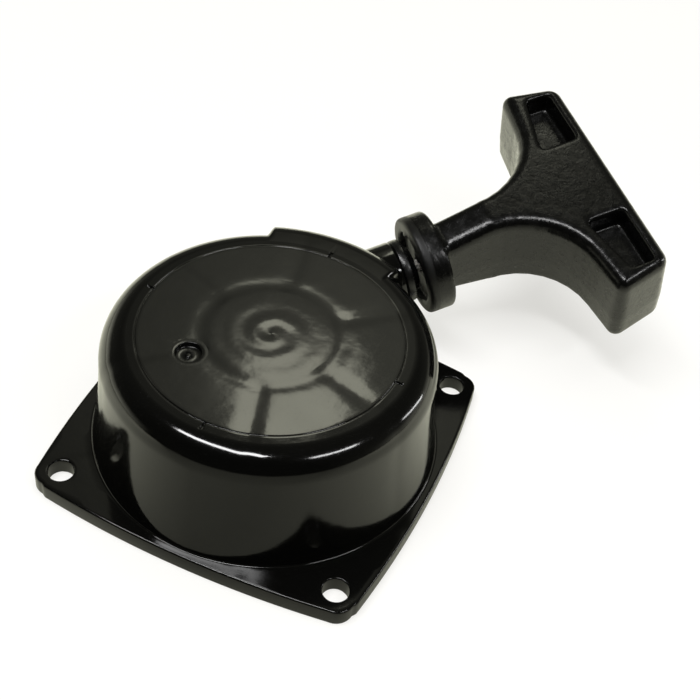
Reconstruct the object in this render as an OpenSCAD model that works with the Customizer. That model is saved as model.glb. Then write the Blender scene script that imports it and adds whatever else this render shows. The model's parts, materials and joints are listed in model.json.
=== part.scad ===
// Recoil starter: a square-flanged drum housing, a sprung rope reel with two pawls, and a T handle.
// The origin is the centre of the mounting face on the crank axis. +Z points up out of the drum,
// and X and Y run along the sides of the flange.

/* [Flange] */
// Distance between neighbouring mounting holes
hole_pitch = 69; // [66:0.5:74]
// Diameter of a mounting hole
hole_d = 6; // [4:0.1:6.6]
// Thickness of the flange
flange_t = 4.2; // [3:0.1:6]
// Distance from a mounting hole's centre to the bowed side's ends
hole_edge = 5; // [4.6:0.1:7]
// How far the middle of a side bows out past its ends
side_bow = 3.1; // [0:0.1:5]
// Corner radius of the flange
corner_r = 4; // [2:0.5:6]

/* [Drum] */
// Outer radius of the drum wall at the flange
drum_r = 38.8; // [38.4:0.1:39.6]
// How much smaller the wall is at its top, for moulding
drum_draft = 0.7; // [0:0.1:1]
// Height of the drum's top above the mounting face
drum_h = 34.9; // [34.5:0.1:42]
// Radius of the drum's rounded top edge
rim_r = 6.5; // [4:0.1:7]
// Wall thickness of the drum
wall_t = 2.6; // [2:0.1:3]
// Fillet between the drum wall and the flange
base_fillet = 1.8; // [0.8:0.1:2.4]
// How far the rope-exit sector stands out of the wall
bulge = 3.3; // [2.6:0.1:3.8]
// Angle where the rope-exit sector starts
bulge_from = 65; // [60:1:70]
// Angle where the rope-exit sector ends
bulge_to = 117; // [110:1:122]

/* [Disc details] */
// Radius of the fine groove on the top
groove_r = 30; // [27:0.5:31]
// Width of the fine groove and of its four tick marks
groove_w = 0.5; // [0.3:0.1:0.8]
// Depth of the fine groove
groove_depth = 0.3; // [0.2:0.1:0.6]
// Length of a tick mark
tick_len = 2; // [1:0.5:2.4]
// Distance of the gate dimple from the axis
gate_dist = 19.1; // [14:0.1:24]
// Diameter of the gate dimple
gate_d = 6; // [4:0.5:8]
// Depth of the gate dimple
gate_depth = 0.8; // [0.4:0.1:1.2]

/* [Rope and pull] */
// Diameter of the rope
rope_d = 3; // [2.6:0.1:3.2]
// Distance of the outermost winding's centre from the axis
rope_off = 24.4; // [23.8:0.1:25]
// Direction of pull, seen from above
pull_az = 45; // [40:1:50]
// Upward tilt of the pull
pull_tilt = 13; // [8:1:16]
// Roll of the handle about its own axis
handle_roll = 9.5; // [0:0.1:12]
// Distance from the reel axis to the handle's collar, along the pull
collar_reach = 45.7; // [45.2:0.1:52]
// Height of the collar's centre above the rope where it leaves the reel
collar_rise = 4.4; // [4:0.1:4.8]

/* [Rope guide] */
// Radius of the housing's rope boss and of the guide's visible ring
boss_r = 8; // [7:0.1:9]
// Width of the guide's visible ring
ring_w = 2.4; // [1.6:0.1:3]
// Gap between the guide's ring and the handle's collar
ring_gap = 1.7; // [1:0.1:2.4]
// Outer radius of the guide's tube in the wall
guide_r = 5; // [4:0.1:6]
// Radial clearance of the rope in the guide and in the handle
rope_clear = 0.7; // [0.4:0.1:1]

/* [Handle] */
// Collar radius
collar_r = 12.5; // [11.5:0.1:13.5]
// Collar length
collar_len = 6.7; // [5:0.1:9]
// Width of the neck
neck_w = 10; // [9:0.1:13]
// Height of the neck at the collar
neck_h = 17.6; // [14:0.1:20]
// Thickness of the T bar
bar_t = 23.2; // [20:0.1:26]
// Length of the T bar
bar_len = 67.6; // [62:0.2:84]
// Distance from the collar's face to the outer side of the bar
bar_out = 54.1; // [52:0.1:60]
// Width of the bar at its ends
bar_w = 14.6; // [14:0.1:17]
// Fillet radius between the neck and the bar
neck_fillet = 19.5; // [10:0.5:20]
// Depth of the two pockets in the bar
pocket_depth = 5.5; // [3:0.1:6.5]

/* [Reel and spring] */
// Radius of the reel's flanges
reel_r = 29; // [28:0.1:30]
// Thickness of the reel's upper flange
reel_top_t = 1.8; // [1.4:0.1:2]
// Thickness of the reel's lower flange
reel_low_t = 2.8; // [2.4:0.1:3]
// Width of the rope groove, two turns wide
groove_gap = 6; // [5.4:0.1:6.4]
// Radius of the reel's core under the rope
core_r = 13.9; // [13.6:0.1:15]
// Radius of the arbor that the spring hooks on
arbor_r = 11; // [10:0.1:11.5]
// Thickness of the recoil spring's strip
strip_t = 0.45; // [0.3:0.05:0.5]
// Height of the recoil spring's strip
strip_h = 5.4; // [5:0.1:5.6]
// Number of closely packed outer turns of the spring
packed_turns = 9; // [6:1:10]
// Outer radius of the spring case
case_r = 33.5; // [33.2:0.1:33.8]
// Sheet thickness of the spring case's wall
case_wall = 0.6; // [0.4:0.1:0.8]
// Sheet thickness of the case's top and of its cover
sheet_t = 0.8; // [0.6:0.1:0.9]

/* [Axle] */
// Radius of the housing's centre post
post_r = 4; // [3.5:0.1:4.2]
// Outer radius of the steel axle sleeve
sleeve_r = 5; // [4.8:0.1:5.2]
// Outer radius of the reel's bush
bush_r = 6.5; // [6.2:0.1:6.8]
// Radial clearance of a running fit
fit_clear = 0.05; // [0.02:0.01:0.1]
// Radius of the centre screw's shank
screw_r = 1.9; // [1.5:0.1:2.2]
// Radius of the centre screw's head
screw_head_r = 4; // [3.5:0.1:4.5]

/* [Pawls] */
// Distance of a pawl pin from the axis
pawl_pin_dist = 17; // [16.5:0.1:17.5]
// Radius of a pawl pin
pawl_pin_r = 1.6; // [1.4:0.1:1.7]
// Length of a pawl, pin to tip
pawl_len = 14; // [12:0.1:14.5]
// Thickness of a pawl
pawl_t = 2.2; // [1.8:0.1:2.3]
// Radius of a pawl's cam peg
peg_r = 1; // [0.8:0.1:1.2]
// Angle of pawl 1's pin on the reel at rest
pawl_az = 200; // [180:5:220]

/* [Hidden] */
$fn = 96;
EPS = 0.01;
SEAT_GAP = 0.1;     // gap between faces that slide on each other

// Heights, from the drum's top down to the pawls
drum_in_r = drum_r - drum_draft - wall_t + 0.3;
ceiling_z = drum_h - wall_t;
case_h = strip_h + 2 * sheet_t;
case_z = ceiling_z - case_h;
cover_z = case_z - sheet_t;
reel_top_z = cover_z - 0.5;
groove_top_z = reel_top_z - reel_top_t;
groove_low_z = groove_top_z - groove_gap;
reel_low_z = groove_low_z - reel_low_t;
rope_z = groove_low_z + groove_gap / 2;
collar_z = rope_z + collar_rise;
pawl_top_z = reel_low_z - 0.8;
pawl_low_z = pawl_top_z - pawl_t;
clip_t = 0.7;
clip_z = pawl_low_z - 0.2 - clip_t;
pin_end_z = clip_z - 0.3;
plate_t = 1.2;
plate_top_z = pin_end_z - 0.4;
plate_z = plate_top_z - plate_t;
sleeve_end_z = plate_top_z + 0.2;
washer_flange_z = plate_z - SEAT_GAP - sheet_t;
screw_head_t = 2.3;
screw_end_z = 25;

// The flange's outline
side_mid = hole_pitch / 2 + hole_edge + side_bow;
side_end = hole_pitch / 2 + hole_edge;
bow_r = (side_end * side_end + side_bow * side_bow) / (2 * side_bow + EPS);

// The handle's place, and its lengths along the pull
collar_at = [collar_reach * cos(pull_az) - rope_off * sin(pull_az),
             collar_reach * sin(pull_az) + rope_off * cos(pull_az), collar_z];
guide_end = -ring_gap - ring_w;
guide_start = guide_end - 11.6;
rope_hole_r = rope_d / 2 + rope_clear;
bar_in = bar_out - bar_w;
end_slant = 3.3;
neck_full = 20;
knot_start = bar_out - 12.4;
knot_len = 7;

// Along the pull's heading, where the rope's level stretch meets its line through the guide
bend_x = collar_reach - (collar_z - rope_z) / tan(pull_tilt);

// Rotation of the handle's cam plate that swings the pawls fully out, and that swing
plate_turn = 20;
pawl_swing = 28;
peg_gap = 0.3;
peg_along = 7;

// Points on an arc about c from angle a to angle b, in degrees
function arc(c, r, a, b, n = 8) = [for (i = [0:n]) let (t = a + (b - a) * i / n)
    [c[0] + r * cos(t), c[1] + r * sin(t)]];

// A closed outline through the corners p, each rounded by the radius in r (0 keeps it sharp)
function rounded(p, r, n = 8) = [for (i = [0:len(p) - 1]) each corner(
    p[(i + len(p) - 1) % len(p)], p[i], p[(i + 1) % len(p)], r[i], n)];
function unit(v) = v / norm(v);
function corner(a, b, c, r, n) = r == 0 ? [b] : let (
    u = unit(a - b), v = unit(c - b), half = acos(u * v) / 2,
    m = b + unit(u + v) * r / sin(half),
    s = b + u * r / tan(half) - m, e = b + v * r / tan(half) - m,
    a0 = atan2(s[1], s[0]), turn = (atan2(e[1], e[0]) - a0 + 540) % 360 - 180)
    arc(m, r, a0, a0 + turn, n);

// One side's bowed line of the flange, from corner to corner along +X at -Y
function bowed_side(n = 16) = let (half = asin((side_end - corner_r) / bow_r))
    [for (i = [0:n]) let (t = -half + 2 * half * i / n)
        [bow_r * sin(t), bow_r - side_mid - bow_r * cos(t)]];
function turned(p, a) = [for (q = p) [q[0] * cos(a) - q[1] * sin(a), q[0] * sin(a) + q[1] * cos(a)]];
function flange_corner() = let (m = side_end - corner_r, low = bowed_side()[0][1])
    arc([m, low + corner_r], corner_r, -88, -2, 6);
function flange_outline() = [for (k = [0:3])
    each turned(concat(bowed_side(), flange_corner()), 90 * k)];

// The wall's half section, from the axis out to the flange and up over the rim, grown by out
function wall_profile(out) = let (rim_c = drum_r - drum_draft - rim_r + out)
    concat([[0, flange_t - 1], [drum_r + out + base_fillet, flange_t - 1]],
           arc([drum_r + out + base_fillet, flange_t + base_fillet], base_fillet, 270, 180),
           arc([rim_c, drum_h - rim_r], rim_r, 0, 90, 12),
           [[0, drum_h]]);

// A tube swept along the points p, with its rings square to a steady reference direction
module tube(p, r, sides = 8) {
    ends = len(p) - 1;
    dirs = [for (i = [0:ends]) unit(p[min(i + 1, ends)] - p[max(i - 1, 0)])];
    rings = [for (i = [0:ends]) let (
        side = unit(cross(dirs[i], abs(dirs[i][2]) > 0.9 ? [1, 0, 0] : [0, 0, 1])),
        up = cross(side, dirs[i]))
        for (k = [0:sides - 1]) p[i] + r * (side * cos(360 * k / sides) + up * sin(360 * k / sides))];
    polyhedron(rings, concat(
        [[for (k = [0:sides - 1]) k]],
        [for (i = [0:ends - 1]) for (k = [0:sides - 1]) let (a = i * sides, b = (k + 1) % sides)
            [a + k, a + sides + k, a + sides + b, a + b]],
        [[for (k = [sides - 1:-1:0]) ends * sides + k]]));
}

// Frames: along the pull at the collar, the same with the handle's roll, and pawl k at its pin
module on_pull() {
    translate(collar_at) rotate([0, -pull_tilt, pull_az]) children();
}
module on_handle() {
    translate(collar_at) rotate([handle_roll, -pull_tilt, pull_az]) children();
}
module at_pawl(k) {
    rotate([0, 0, pawl_az + 180 * (k - 1)]) translate([pawl_pin_dist, 0, 0]) children();
}
// A cylinder along the local X axis from a to b
module rod_x(r, a, b, r_end = -1) {
    translate([a, 0, 0]) rotate([0, 90, 0])
        cylinder(h = b - a, r1 = r, r2 = r_end < 0 ? r : r_end);
}
module ring(r_out, r_in, z, h) {
    translate([0, 0, z]) difference() {
        cylinder(h = h, r = r_out);
        translate([0, 0, -EPS]) cylinder(h = h + 2 * EPS, r = r_in);
    }
}

// ---- The housing and what stays in it ----

module drum_sector(out) {
    intersection() {
        rotate([0, 0, bulge_from]) rotate_extrude(angle = bulge_to - bulge_from)
            polygon(wall_profile(out));
        linear_extrude(drum_h) polygon(flange_outline());
    }
}
module disc_marks() {
    ring(groove_r + groove_w / 2, groove_r - groove_w / 2, drum_h - groove_depth, 1);
    for (a = [0:90:270]) rotate([0, 0, a])
        translate([groove_r, -groove_w / 2, drum_h - groove_depth]) cube([tick_len, groove_w, 1]);
    rotate([0, 0, 226.9]) translate([gate_dist, 0, drum_h - gate_depth])
        cylinder(h = 1.5, r = gate_d / 2);
}
module cavity() {
    translate([0, 0, -1]) cylinder(h = ceiling_z + 1, r = drum_in_r);
    rotate([0, 0, bulge_from + 4]) rotate_extrude(angle = bulge_to - bulge_from - 8)
        translate([drum_in_r - 1, -1]) square([bulge + 0.6, drum_h - rim_r + 0.4]);
}
module housing() {
    color([0.06, 0.06, 0.055]) {
        difference() {
            union() {
                linear_extrude(flange_t) polygon(flange_outline());
                rotate_extrude() polygon(wall_profile(0));
                drum_sector(bulge);
                on_pull() rod_x(boss_r, guide_start - 1, guide_end);
            }
            cavity();
            disc_marks();
            for (x = [-1, 1], y = [-1, 1])
                translate([x * hole_pitch / 2, y * hole_pitch / 2, -1])
                    cylinder(h = flange_t + 2, r = hole_d / 2);
            on_pull() rod_x(guide_r, guide_start - 3, guide_end + 1);
        }
        ring(post_r, screw_r + fit_clear, sleeve_end_z, ceiling_z - sleeve_end_z + 1);
    }
}
module rope_guide() {
    color([0.12, 0.12, 0.12]) on_pull() difference() {
        union() {
            rod_x(guide_r, guide_start, guide_end);
            rod_x(boss_r, guide_end, -ring_gap);
            rod_x(boss_r - 1.6, -ring_gap, -0.3, boss_r - 2.4);
        }
        rod_x(rope_hole_r, guide_start - 1, 1);
        rod_x(guide_r - 0.6, guide_start - EPS, guide_start + 4, rope_hole_r - EPS);
        rod_x(rope_hole_r - EPS, -2.3, -0.3 + EPS, rope_hole_r + 1.4);
    }
}
module spring_case() {
    color([0.6, 0.6, 0.58]) difference() {
        union() {
            ring(case_r, case_r - case_wall, case_z, case_h);
            ring(case_r, sleeve_r + 1, ceiling_z - sheet_t, sheet_t);
        }
        translate([case_r - 2, -0.9, case_z - 1]) cube([4, 1.2, strip_h + 1.4]);
    }
}
// The spring's radius along its length: packed outer turns, then loose turns in to the arbor
spring_out_r = case_r - case_wall - 0.4;
spring_in_r = arbor_r + 0.3;
loose_turns = 2;
turn_pitch = 2 * strip_t;
hook_out = 1.6;
hook_in = 1.2;
function spring_r(turn) = turn < packed_turns ? spring_out_r - turn_pitch * turn
    : spring_out_r - turn_pitch * packed_turns
      - (spring_out_r - turn_pitch * packed_turns - spring_in_r - strip_t)
        * (turn - packed_turns) / loose_turns;
function spring_line(inset, n = 24) = [for (i = [0:(packed_turns + loose_turns) * n])
    let (a = -360 * i / n, r = spring_r(i / n) - inset) [r * cos(a), r * sin(a)]];
// The strip is one outline, with a hook turned out through the case's slot and one in to the arbor
module recoil_spring() {
    outer = spring_line(0);
    inner = spring_line(strip_t);
    slot_hook = [[spring_out_r + hook_out, -strip_t], [spring_out_r + hook_out, 0]];
    arbor_hook = [[arbor_r - hook_in, 0], [arbor_r - hook_in, -strip_t],
                  [spring_in_r + strip_t, -strip_t]];
    color([0.35, 0.37, 0.42]) translate([0, 0, case_z + 0.2]) linear_extrude(strip_h)
        polygon(concat(slot_hook, [[spring_out_r - strip_t, 0]],
            [for (i = [1:len(inner) - 1]) inner[i]], arbor_hook,
            [for (i = [len(outer) - 1:-1:1]) outer[i]], [[spring_out_r, -strip_t]]));
}
module spring_cover() {
    color([0.62, 0.62, 0.6]) ring(case_r, arbor_r + 1, cover_z, sheet_t);
}
module axle_sleeve() {
    color([0.7, 0.7, 0.68]) ring(sleeve_r, post_r, sleeve_end_z, ceiling_z - sleeve_end_z);
}
module retainer_washer() {
    color([0.72, 0.72, 0.7]) {
        ring(post_r + 0.2, screw_r + 0.2, plate_z - SEAT_GAP, sleeve_end_z - plate_z + SEAT_GAP);
        ring(post_r + 3, screw_r + 0.2, washer_flange_z, sheet_t);
    }
}
module centre_screw() {
    color([0.55, 0.55, 0.53]) difference() {
        union() {
            translate([0, 0, washer_flange_z - EPS])
                cylinder(h = screw_end_z - washer_flange_z, r = screw_r);
            translate([0, 0, washer_flange_z - screw_head_t])
                cylinder(h = screw_head_t, r1 = screw_head_r - 0.7, r2 = screw_head_r);
        }
        for (a = [0, 90]) rotate([0, 0, a])
            translate([-2.2, -0.45, washer_flange_z - screw_head_t - 1]) cube([4.4, 0.9, 2.4]);
    }
}

// ---- The reel and what turns with it ----

knot_at = [0, (bush_r + core_r) / 2 - 0.2];
knot_r = 2.6;
module reel() {
    color([0.16, 0.16, 0.17]) difference() {
        rotate_extrude() polygon([
            [bush_r, reel_low_z], [reel_r, reel_low_z], [reel_r, groove_low_z], [core_r, groove_low_z],
            [core_r, groove_top_z], [reel_r, groove_top_z], [reel_r, reel_top_z], [arbor_r, reel_top_z],
            [arbor_r, case_z + strip_h + 0.4], [bush_r, case_z + strip_h + 0.4]]);
        translate([arbor_r - hook_in - 0.4, -strip_t - 0.2, case_z])
            cube([3, strip_t + 0.4, strip_h + 1]);
        translate([knot_at[0], knot_at[1], reel_low_z - 1])
            cylinder(h = rope_z + 2.6 - reel_low_z, r = knot_r + 0.2);
        translate([0, knot_at[1], rope_z]) rotate([-90, 0, 0]) cylinder(h = 9, r = rope_d / 2 + 0.1);
        for (k = [1, 2]) at_pawl(k)
            translate([0, 0, reel_low_z - 1]) cylinder(h = 3, r = pawl_pin_r);
    }
}
module reel_bush() {
    color([0.72, 0.56, 0.3])
        ring(bush_r, sleeve_r + fit_clear, reel_low_z, case_z + strip_h + 0.4 - reel_low_z);
}
coil_r = rope_off - rope_d / 2 - 0.3;
module rope_coil() {
    color([0.85, 0.85, 0.82])
        ring(coil_r, core_r, groove_low_z + SEAT_GAP, groove_gap - 2 * SEAT_GAP);
}
module reel_knot() {
    color([0.85, 0.85, 0.82]) {
        translate([knot_at[0], knot_at[1], rope_z - 3]) cylinder(h = 4.4, r = knot_r);
        translate([0, knot_at[1], rope_z]) rotate([-90, 0, 0])
            cylinder(h = core_r - knot_at[1] - 0.1, r = rope_d / 2);
    }
}
module pawl_pin(k) {
    color([0.75, 0.75, 0.73]) at_pawl(k) translate([0, 0, pin_end_z])
        cylinder(h = reel_low_z + 2 - pin_end_z, r = pawl_pin_r);
}
module pin_clip(k) {
    color([0.5, 0.5, 0.48]) at_pawl(k) difference() {
        ring(pawl_pin_r + 1.4, pawl_pin_r, clip_z, clip_t);
        translate([0, -0.8, clip_z - 1]) cube([4, 1.6, 3]);
    }
}
// A hair spring: one flat turn about the pin above the pawl, with a leg along the pawl
module pawl_spring(k) {
    color([0.55, 0.55, 0.55]) at_pawl(k) {
        ring(pawl_pin_r + 0.9, pawl_pin_r + 0.3, pawl_top_z + SEAT_GAP, 0.6);
        translate([-pawl_pin_r - 0.9, -8, pawl_top_z + SEAT_GAP]) cube([0.6, 8, 0.6]);
    }
}
spring_turns = 2.5;
wire_r = 0.45;
module friction_spring() {
    steps = 12 * spring_turns;
    low = plate_top_z + wire_r + SEAT_GAP;
    high = reel_low_z - wire_r - SEAT_GAP;
    color([0.6, 0.6, 0.6]) tube([for (i = [0:steps]) let (a = 360 * spring_turns * i / steps)
        [6.6 * cos(a), 6.6 * sin(a), low + (high - low) * i / steps]], wire_r, 6);
}

// ---- The pawls and their cam plate ----

// A pawl lies along -Y from its pin, leaning in by this angle at rest
pawl_lean = 10;
peg_at = [-1.4, -peg_along];
module pawl(k) {
    color([0.5, 0.5, 0.5]) at_pawl(k) difference() {
        union() {
            translate([0, 0, pawl_low_z]) {
                cylinder(h = pawl_t, r = pawl_pin_r + 1.7);
                linear_extrude(pawl_t) rotate([0, 0, -pawl_lean]) polygon([
                    [-pawl_pin_r - 1.6, 0], [-2.9, -peg_along], [-0.8, -pawl_len],
                    [2.2, -pawl_len], [1.4, -peg_along - 2], [pawl_pin_r + 1.6, 0]]);
            }
            translate([peg_at[0], peg_at[1], plate_z + 0.2])
                cylinder(h = pawl_low_z + 0.5 - plate_z, r = peg_r);
        }
        translate([0, 0, pawl_low_z - 1]) cylinder(h = pawl_t + 2, r = pawl_pin_r + fit_clear);
    }
}
// The pegs' distances from the axis with the pawls in and out set the rise of the plate's lobes
peg_in = [pawl_pin_dist + peg_at[0], peg_at[1]];
peg_out = [pawl_pin_dist, 0] + turned([peg_at], pawl_swing)[0];
lobe_in_a = atan2(peg_in[1], peg_in[0]);
lobe_out_a = atan2(peg_out[1], peg_out[0]) - plate_turn;
lobe_rise = (norm(peg_out) - norm(peg_in)) / (lobe_in_a - lobe_out_a);
function lobe_r(a) = norm(peg_in) - peg_r - peg_gap + lobe_rise * (lobe_in_a - a);
module friction_plate() {
    from = 0;
    to = lobe_out_a - 4;
    lobe = [for (i = [0:12]) let (a = from + (to - from) * i / 12) lobe_r(a) * [cos(a), sin(a)]];
    back = arc([0, 0], lobe_r(from), to - 14, -180, 10);
    half = concat(lobe, back);
    color([0.66, 0.66, 0.64]) translate([0, 0, plate_z]) rotate([0, 0, pawl_az]) difference() {
        linear_extrude(plate_t) polygon(concat(half, turned(half, -180)));
        translate([0, 0, -1]) cylinder(h = plate_t + 2, r = post_r + 0.2 + fit_clear);
    }
}

// ---- The handle and its rope ----

pocket_side = 3.3;
pocket_end = 5;
module t_outline() {
    half_in = bar_len / 2;
    half_out = bar_len / 2 - end_slant;
    n = neck_w / 2;
    polygon(rounded(
        [[0, -n], [bar_in - 3.3, -n], [bar_in, -half_in], [bar_out, -half_out],
         [bar_out, half_out], [bar_in, half_in], [bar_in - 3.3, n], [0, n]],
        [0, neck_fillet, 2.4, 3.6, 3.6, 2.4, neck_fillet, 0]));
}
module pocket_outline() {
    half_in = bar_len / 2;
    polygon(rounded([[bar_in + 1.4, 12.4], [bar_out - pocket_side, 12.4],
        [bar_out - pocket_side, half_in - pocket_end], [bar_in + 5, half_in - pocket_end]],
        [1.2, 1.2, 1.2, 1.2], 4));
}
// The neck's side view, which narrows from the bar to the collar
module neck_side() {
    polygon([[0, -neck_h / 2], [collar_len, -neck_h / 2], [neck_full, -bar_t / 2],
        [bar_out + 1, -bar_t / 2], [bar_out + 1, bar_t / 2], [neck_full, bar_t / 2],
        [collar_len, neck_h / 2], [0, neck_h / 2]]);
}
module handle() {
    color([0.08, 0.08, 0.08]) on_handle() difference() {
        union() {
            intersection() {
                translate([0, 0, -bar_t / 2]) linear_extrude(bar_t) t_outline();
                rotate([90, 0, 0]) translate([0, 0, -bar_len]) linear_extrude(2 * bar_len) neck_side();
            }
            rod_x(collar_r, 0, collar_len);
        }
        for (side = [-1, 1], face = [0, 1]) mirror([0, 0, face])
            scale([1, side, 1]) translate([0, 0, bar_t / 2 - pocket_depth])
                linear_extrude(pocket_depth + 1) pocket_outline();
        rod_x(boss_r + 1.2, -EPS, ring_gap);
        rod_x(rope_hole_r, 0, bar_out - 6);
        translate([knot_start - 1.4, -4.8, -bar_t / 2 - 1]) cube([knot_len + 2.4, 9.6, bar_t / 2 + 5.8]);
    }
}
module knot_washer() {
    color([0.7, 0.7, 0.68]) on_handle() difference() {
        rod_x(4.4, knot_start - 1.3, knot_start);
        rod_x(rope_d / 2 + 0.2, knot_start - 2, knot_start + 1);
    }
}
module handle_knot() {
    color([0.85, 0.85, 0.82]) on_handle() {
        rod_x(3.2, knot_start, knot_start + 1.5, 4.2);
        rod_x(4.2, knot_start + 1.5, knot_start + knot_len - 2);
        rod_x(4.2, knot_start + knot_len - 2, knot_start + knot_len, 2.4);
    }
}
// The rope leaves the reel level and bends up into the guide at bend_x
function rope_point(x) = let (
    tilt_z = collar_z - (collar_reach - x) * tan(pull_tilt),
    z = x < bend_x - 4 ? rope_z : x > bend_x + 4 ? tilt_z
        : rope_z + tan(pull_tilt) * pow(x - bend_x + 4, 2) / 16)
    [x * cos(pull_az) - rope_off * sin(pull_az), x * sin(pull_az) + rope_off * cos(pull_az), z];
module rope_lead() {
    stop = collar_reach + knot_start * cos(pull_tilt);
    color([0.85, 0.85, 0.82]) tube([for (i = [0:24]) rope_point(stop * i / 24)], rope_d / 2, 8);
}

housing();
rope_guide();
spring_case();
recoil_spring();
spring_cover();
axle_sleeve();
retainer_washer();
centre_screw();
reel();
reel_bush();
rope_coil();
reel_knot();
pawl_pin(1);  // pawl_pin_1
pawl_pin(2);  // pawl_pin_2
pin_clip(1);  // pin_clip_1
pin_clip(2);  // pin_clip_2
pawl_spring(1);  // pawl_spring_1
pawl_spring(2);  // pawl_spring_2
friction_spring();
friction_plate();
pawl(1);  // pawl_1
pawl(2);  // pawl_2
handle();
knot_washer();
handle_knot();
rope_lead();
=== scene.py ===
"""Recoil starter: finished surfaces and materials over the starter's fixed frame."""

import json
import math

import bmesh
import bpy
import numpy as np
from bpy.props import FloatProperty, FloatVectorProperty, PointerProperty
from mathutils import Matrix, Vector


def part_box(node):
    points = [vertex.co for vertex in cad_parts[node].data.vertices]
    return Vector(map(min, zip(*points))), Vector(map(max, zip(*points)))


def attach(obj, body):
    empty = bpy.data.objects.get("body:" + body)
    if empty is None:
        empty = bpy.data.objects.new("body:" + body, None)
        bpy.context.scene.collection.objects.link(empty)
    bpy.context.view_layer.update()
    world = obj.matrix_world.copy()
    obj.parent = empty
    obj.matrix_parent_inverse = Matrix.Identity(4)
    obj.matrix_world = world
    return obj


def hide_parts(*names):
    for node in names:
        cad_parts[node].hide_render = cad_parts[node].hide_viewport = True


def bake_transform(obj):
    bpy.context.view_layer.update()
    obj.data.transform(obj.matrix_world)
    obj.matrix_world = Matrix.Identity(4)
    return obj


bl_info = {
    "name": "Recoil starter",
    "version": (1, 0, 0),
    "blender": (4, 5, 0),
    "location": "View3D > Sidebar > Starter",
    "description": "Builds a pull-cord recoil starter with its reel, pawls and T handle",
    "category": "Object",
}

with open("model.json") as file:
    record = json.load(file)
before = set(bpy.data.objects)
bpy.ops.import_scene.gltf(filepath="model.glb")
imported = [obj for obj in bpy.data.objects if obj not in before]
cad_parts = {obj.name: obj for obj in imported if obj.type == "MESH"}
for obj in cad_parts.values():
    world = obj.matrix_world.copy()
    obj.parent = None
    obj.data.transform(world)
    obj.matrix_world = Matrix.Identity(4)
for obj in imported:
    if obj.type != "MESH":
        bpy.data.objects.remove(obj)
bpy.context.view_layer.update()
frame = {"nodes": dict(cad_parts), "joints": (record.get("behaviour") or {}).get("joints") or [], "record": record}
MM = 0.001


def top_of(node):
    """Height of a node's highest point, in millimetres."""
    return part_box(node)[1][2] / MM


def foot_of(node):
    """Height of a node's lowest point, in millimetres."""
    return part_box(node)[0][2] / MM


# ---- Fixed sizes, in millimetres and degrees ----

# Read from the frame
MOUNT = frame["record"]["mounts"][0]["dims"]
HOLE_R = MOUNT["hole_r_mm"]
HOLE_AT = MOUNT["spacing_x_mm"] / 2 * math.sqrt(2)
PULL = next(joint for joint in frame["joints"] if joint["name"] == "handle_pull")
PULL_HEADING = math.atan2(PULL["axis"][1], PULL["axis"][0])
DRUM_TOP = top_of("housing")

# Inside of the drum: centre post, the screw's hole in it and the hole's blind end
POST_R = 4.0
SCREW_HOLE_R = 1.95
SCREW_HOLE_END = 26.0

# Flange: roundings of its upper edge, lower edge and holes, and the flat left outside the drum's foot
EDGE_R = 0.55
FOOT_R = 0.3
HOLE_ROUND = 0.3
FLANGE_ROOM = 0.75

# Flange faces: half the span of the patch round a hole, and where its rows lie from inside to outside
CORNER_SPAN = 14.0
FACE_SHARES = np.array([0.0, 0.06, 0.5, 0.94, 1.0])

# Top of the drum: the gate's direction, the fall of the band outside the groove, and the hidden ribs
GATE_ANGLE = 226.9
GATE_PIT = 1.9
BAND_LEAN = 4.5
RIB_ANGLES = (-72, -17, 43, 103, 163, 223)

# Rope guide: from the collar's face back to its ring, the ring's width, and layers of rope on the reel
RING_GAP = 1.7
RING_W = 2.4
LAYERS = 4

# Handle's frame: its turn about the pull, its parting plane, and the cell of the grid it is found on
HANDLE_ROLL = 9.5
PARTING = -3.0
HANDLE_STEP = 0.6

# Handle's outline: slant of the bar's ends, swell of its inner side, roundings and draft
BAR_SLANT = 3.3
BAR_SWELL = 3.3
NECK_FILLET = 19.5
INNER_ROUND = 2.4
OUTER_ROUND = 3.6
DRAFT_SLOPE = 0.03
DRAFT_DATUM = 13.0

# Handle's faces: where the neck is as high as the bar, their rounding, and the collar's joint
NECK_FULL = 20.0
FACE_ROUND = 2.9
COLLAR_ROUND = 1.0
COLLAR_BLEND = 2.0

# Handle's pockets: walls at the outer side, the ends and the inner side, the start from the middle,
# the corners' radius and the walls' slope
POCKET_WALL = 3.3
POCKET_END = 5.0
POCKET_IN = 1.4
POCKET_START = 12.4
POCKET_CORNER = 1.3
POCKET_SLOPE = 0.07

# Handle's bore: the guide's recess, the rope's hole, and the knot's chamber with the knot in its middle
RECESS_R = 9.2
RECESS_DEPTH = 1.7
BORE_R = 2.2
KNOT_AT = 41.7
KNOT_MIDDLE = KNOT_AT + 3.8
CHAMBER_LONG = 4.7
CHAMBER_WIDE = 4.8

# Camera: where it stands in millimetres, where it looks, its right-hand side and its lens
CAMERA_AT = (84.34, -185.08, 233.11)
CAMERA_AHEAD = (-0.23747, 0.67045, -0.70292)
CAMERA_RIGHT = (0.90667, 0.41269, 0.08732)
CAMERA_LENS = 65.75

# Light: colours, distance in metres, the floor's own glow, and the soft lobe in the surroundings
WHITE = (1.0, 1.0, 1.0)
WARM = (1.0, 1.0, 0.81)
LIGHT_DISTANCE = 1.0
FLOOR_GLOW = 0.66
LOBE_TOWARDS = (-0.238, 0.653, 0.719)
LOBE_FOCUS = 46.0
LOBE_LEVEL = 0.55
BEHIND = (-0.37, 0.93, 0.0)

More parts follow.
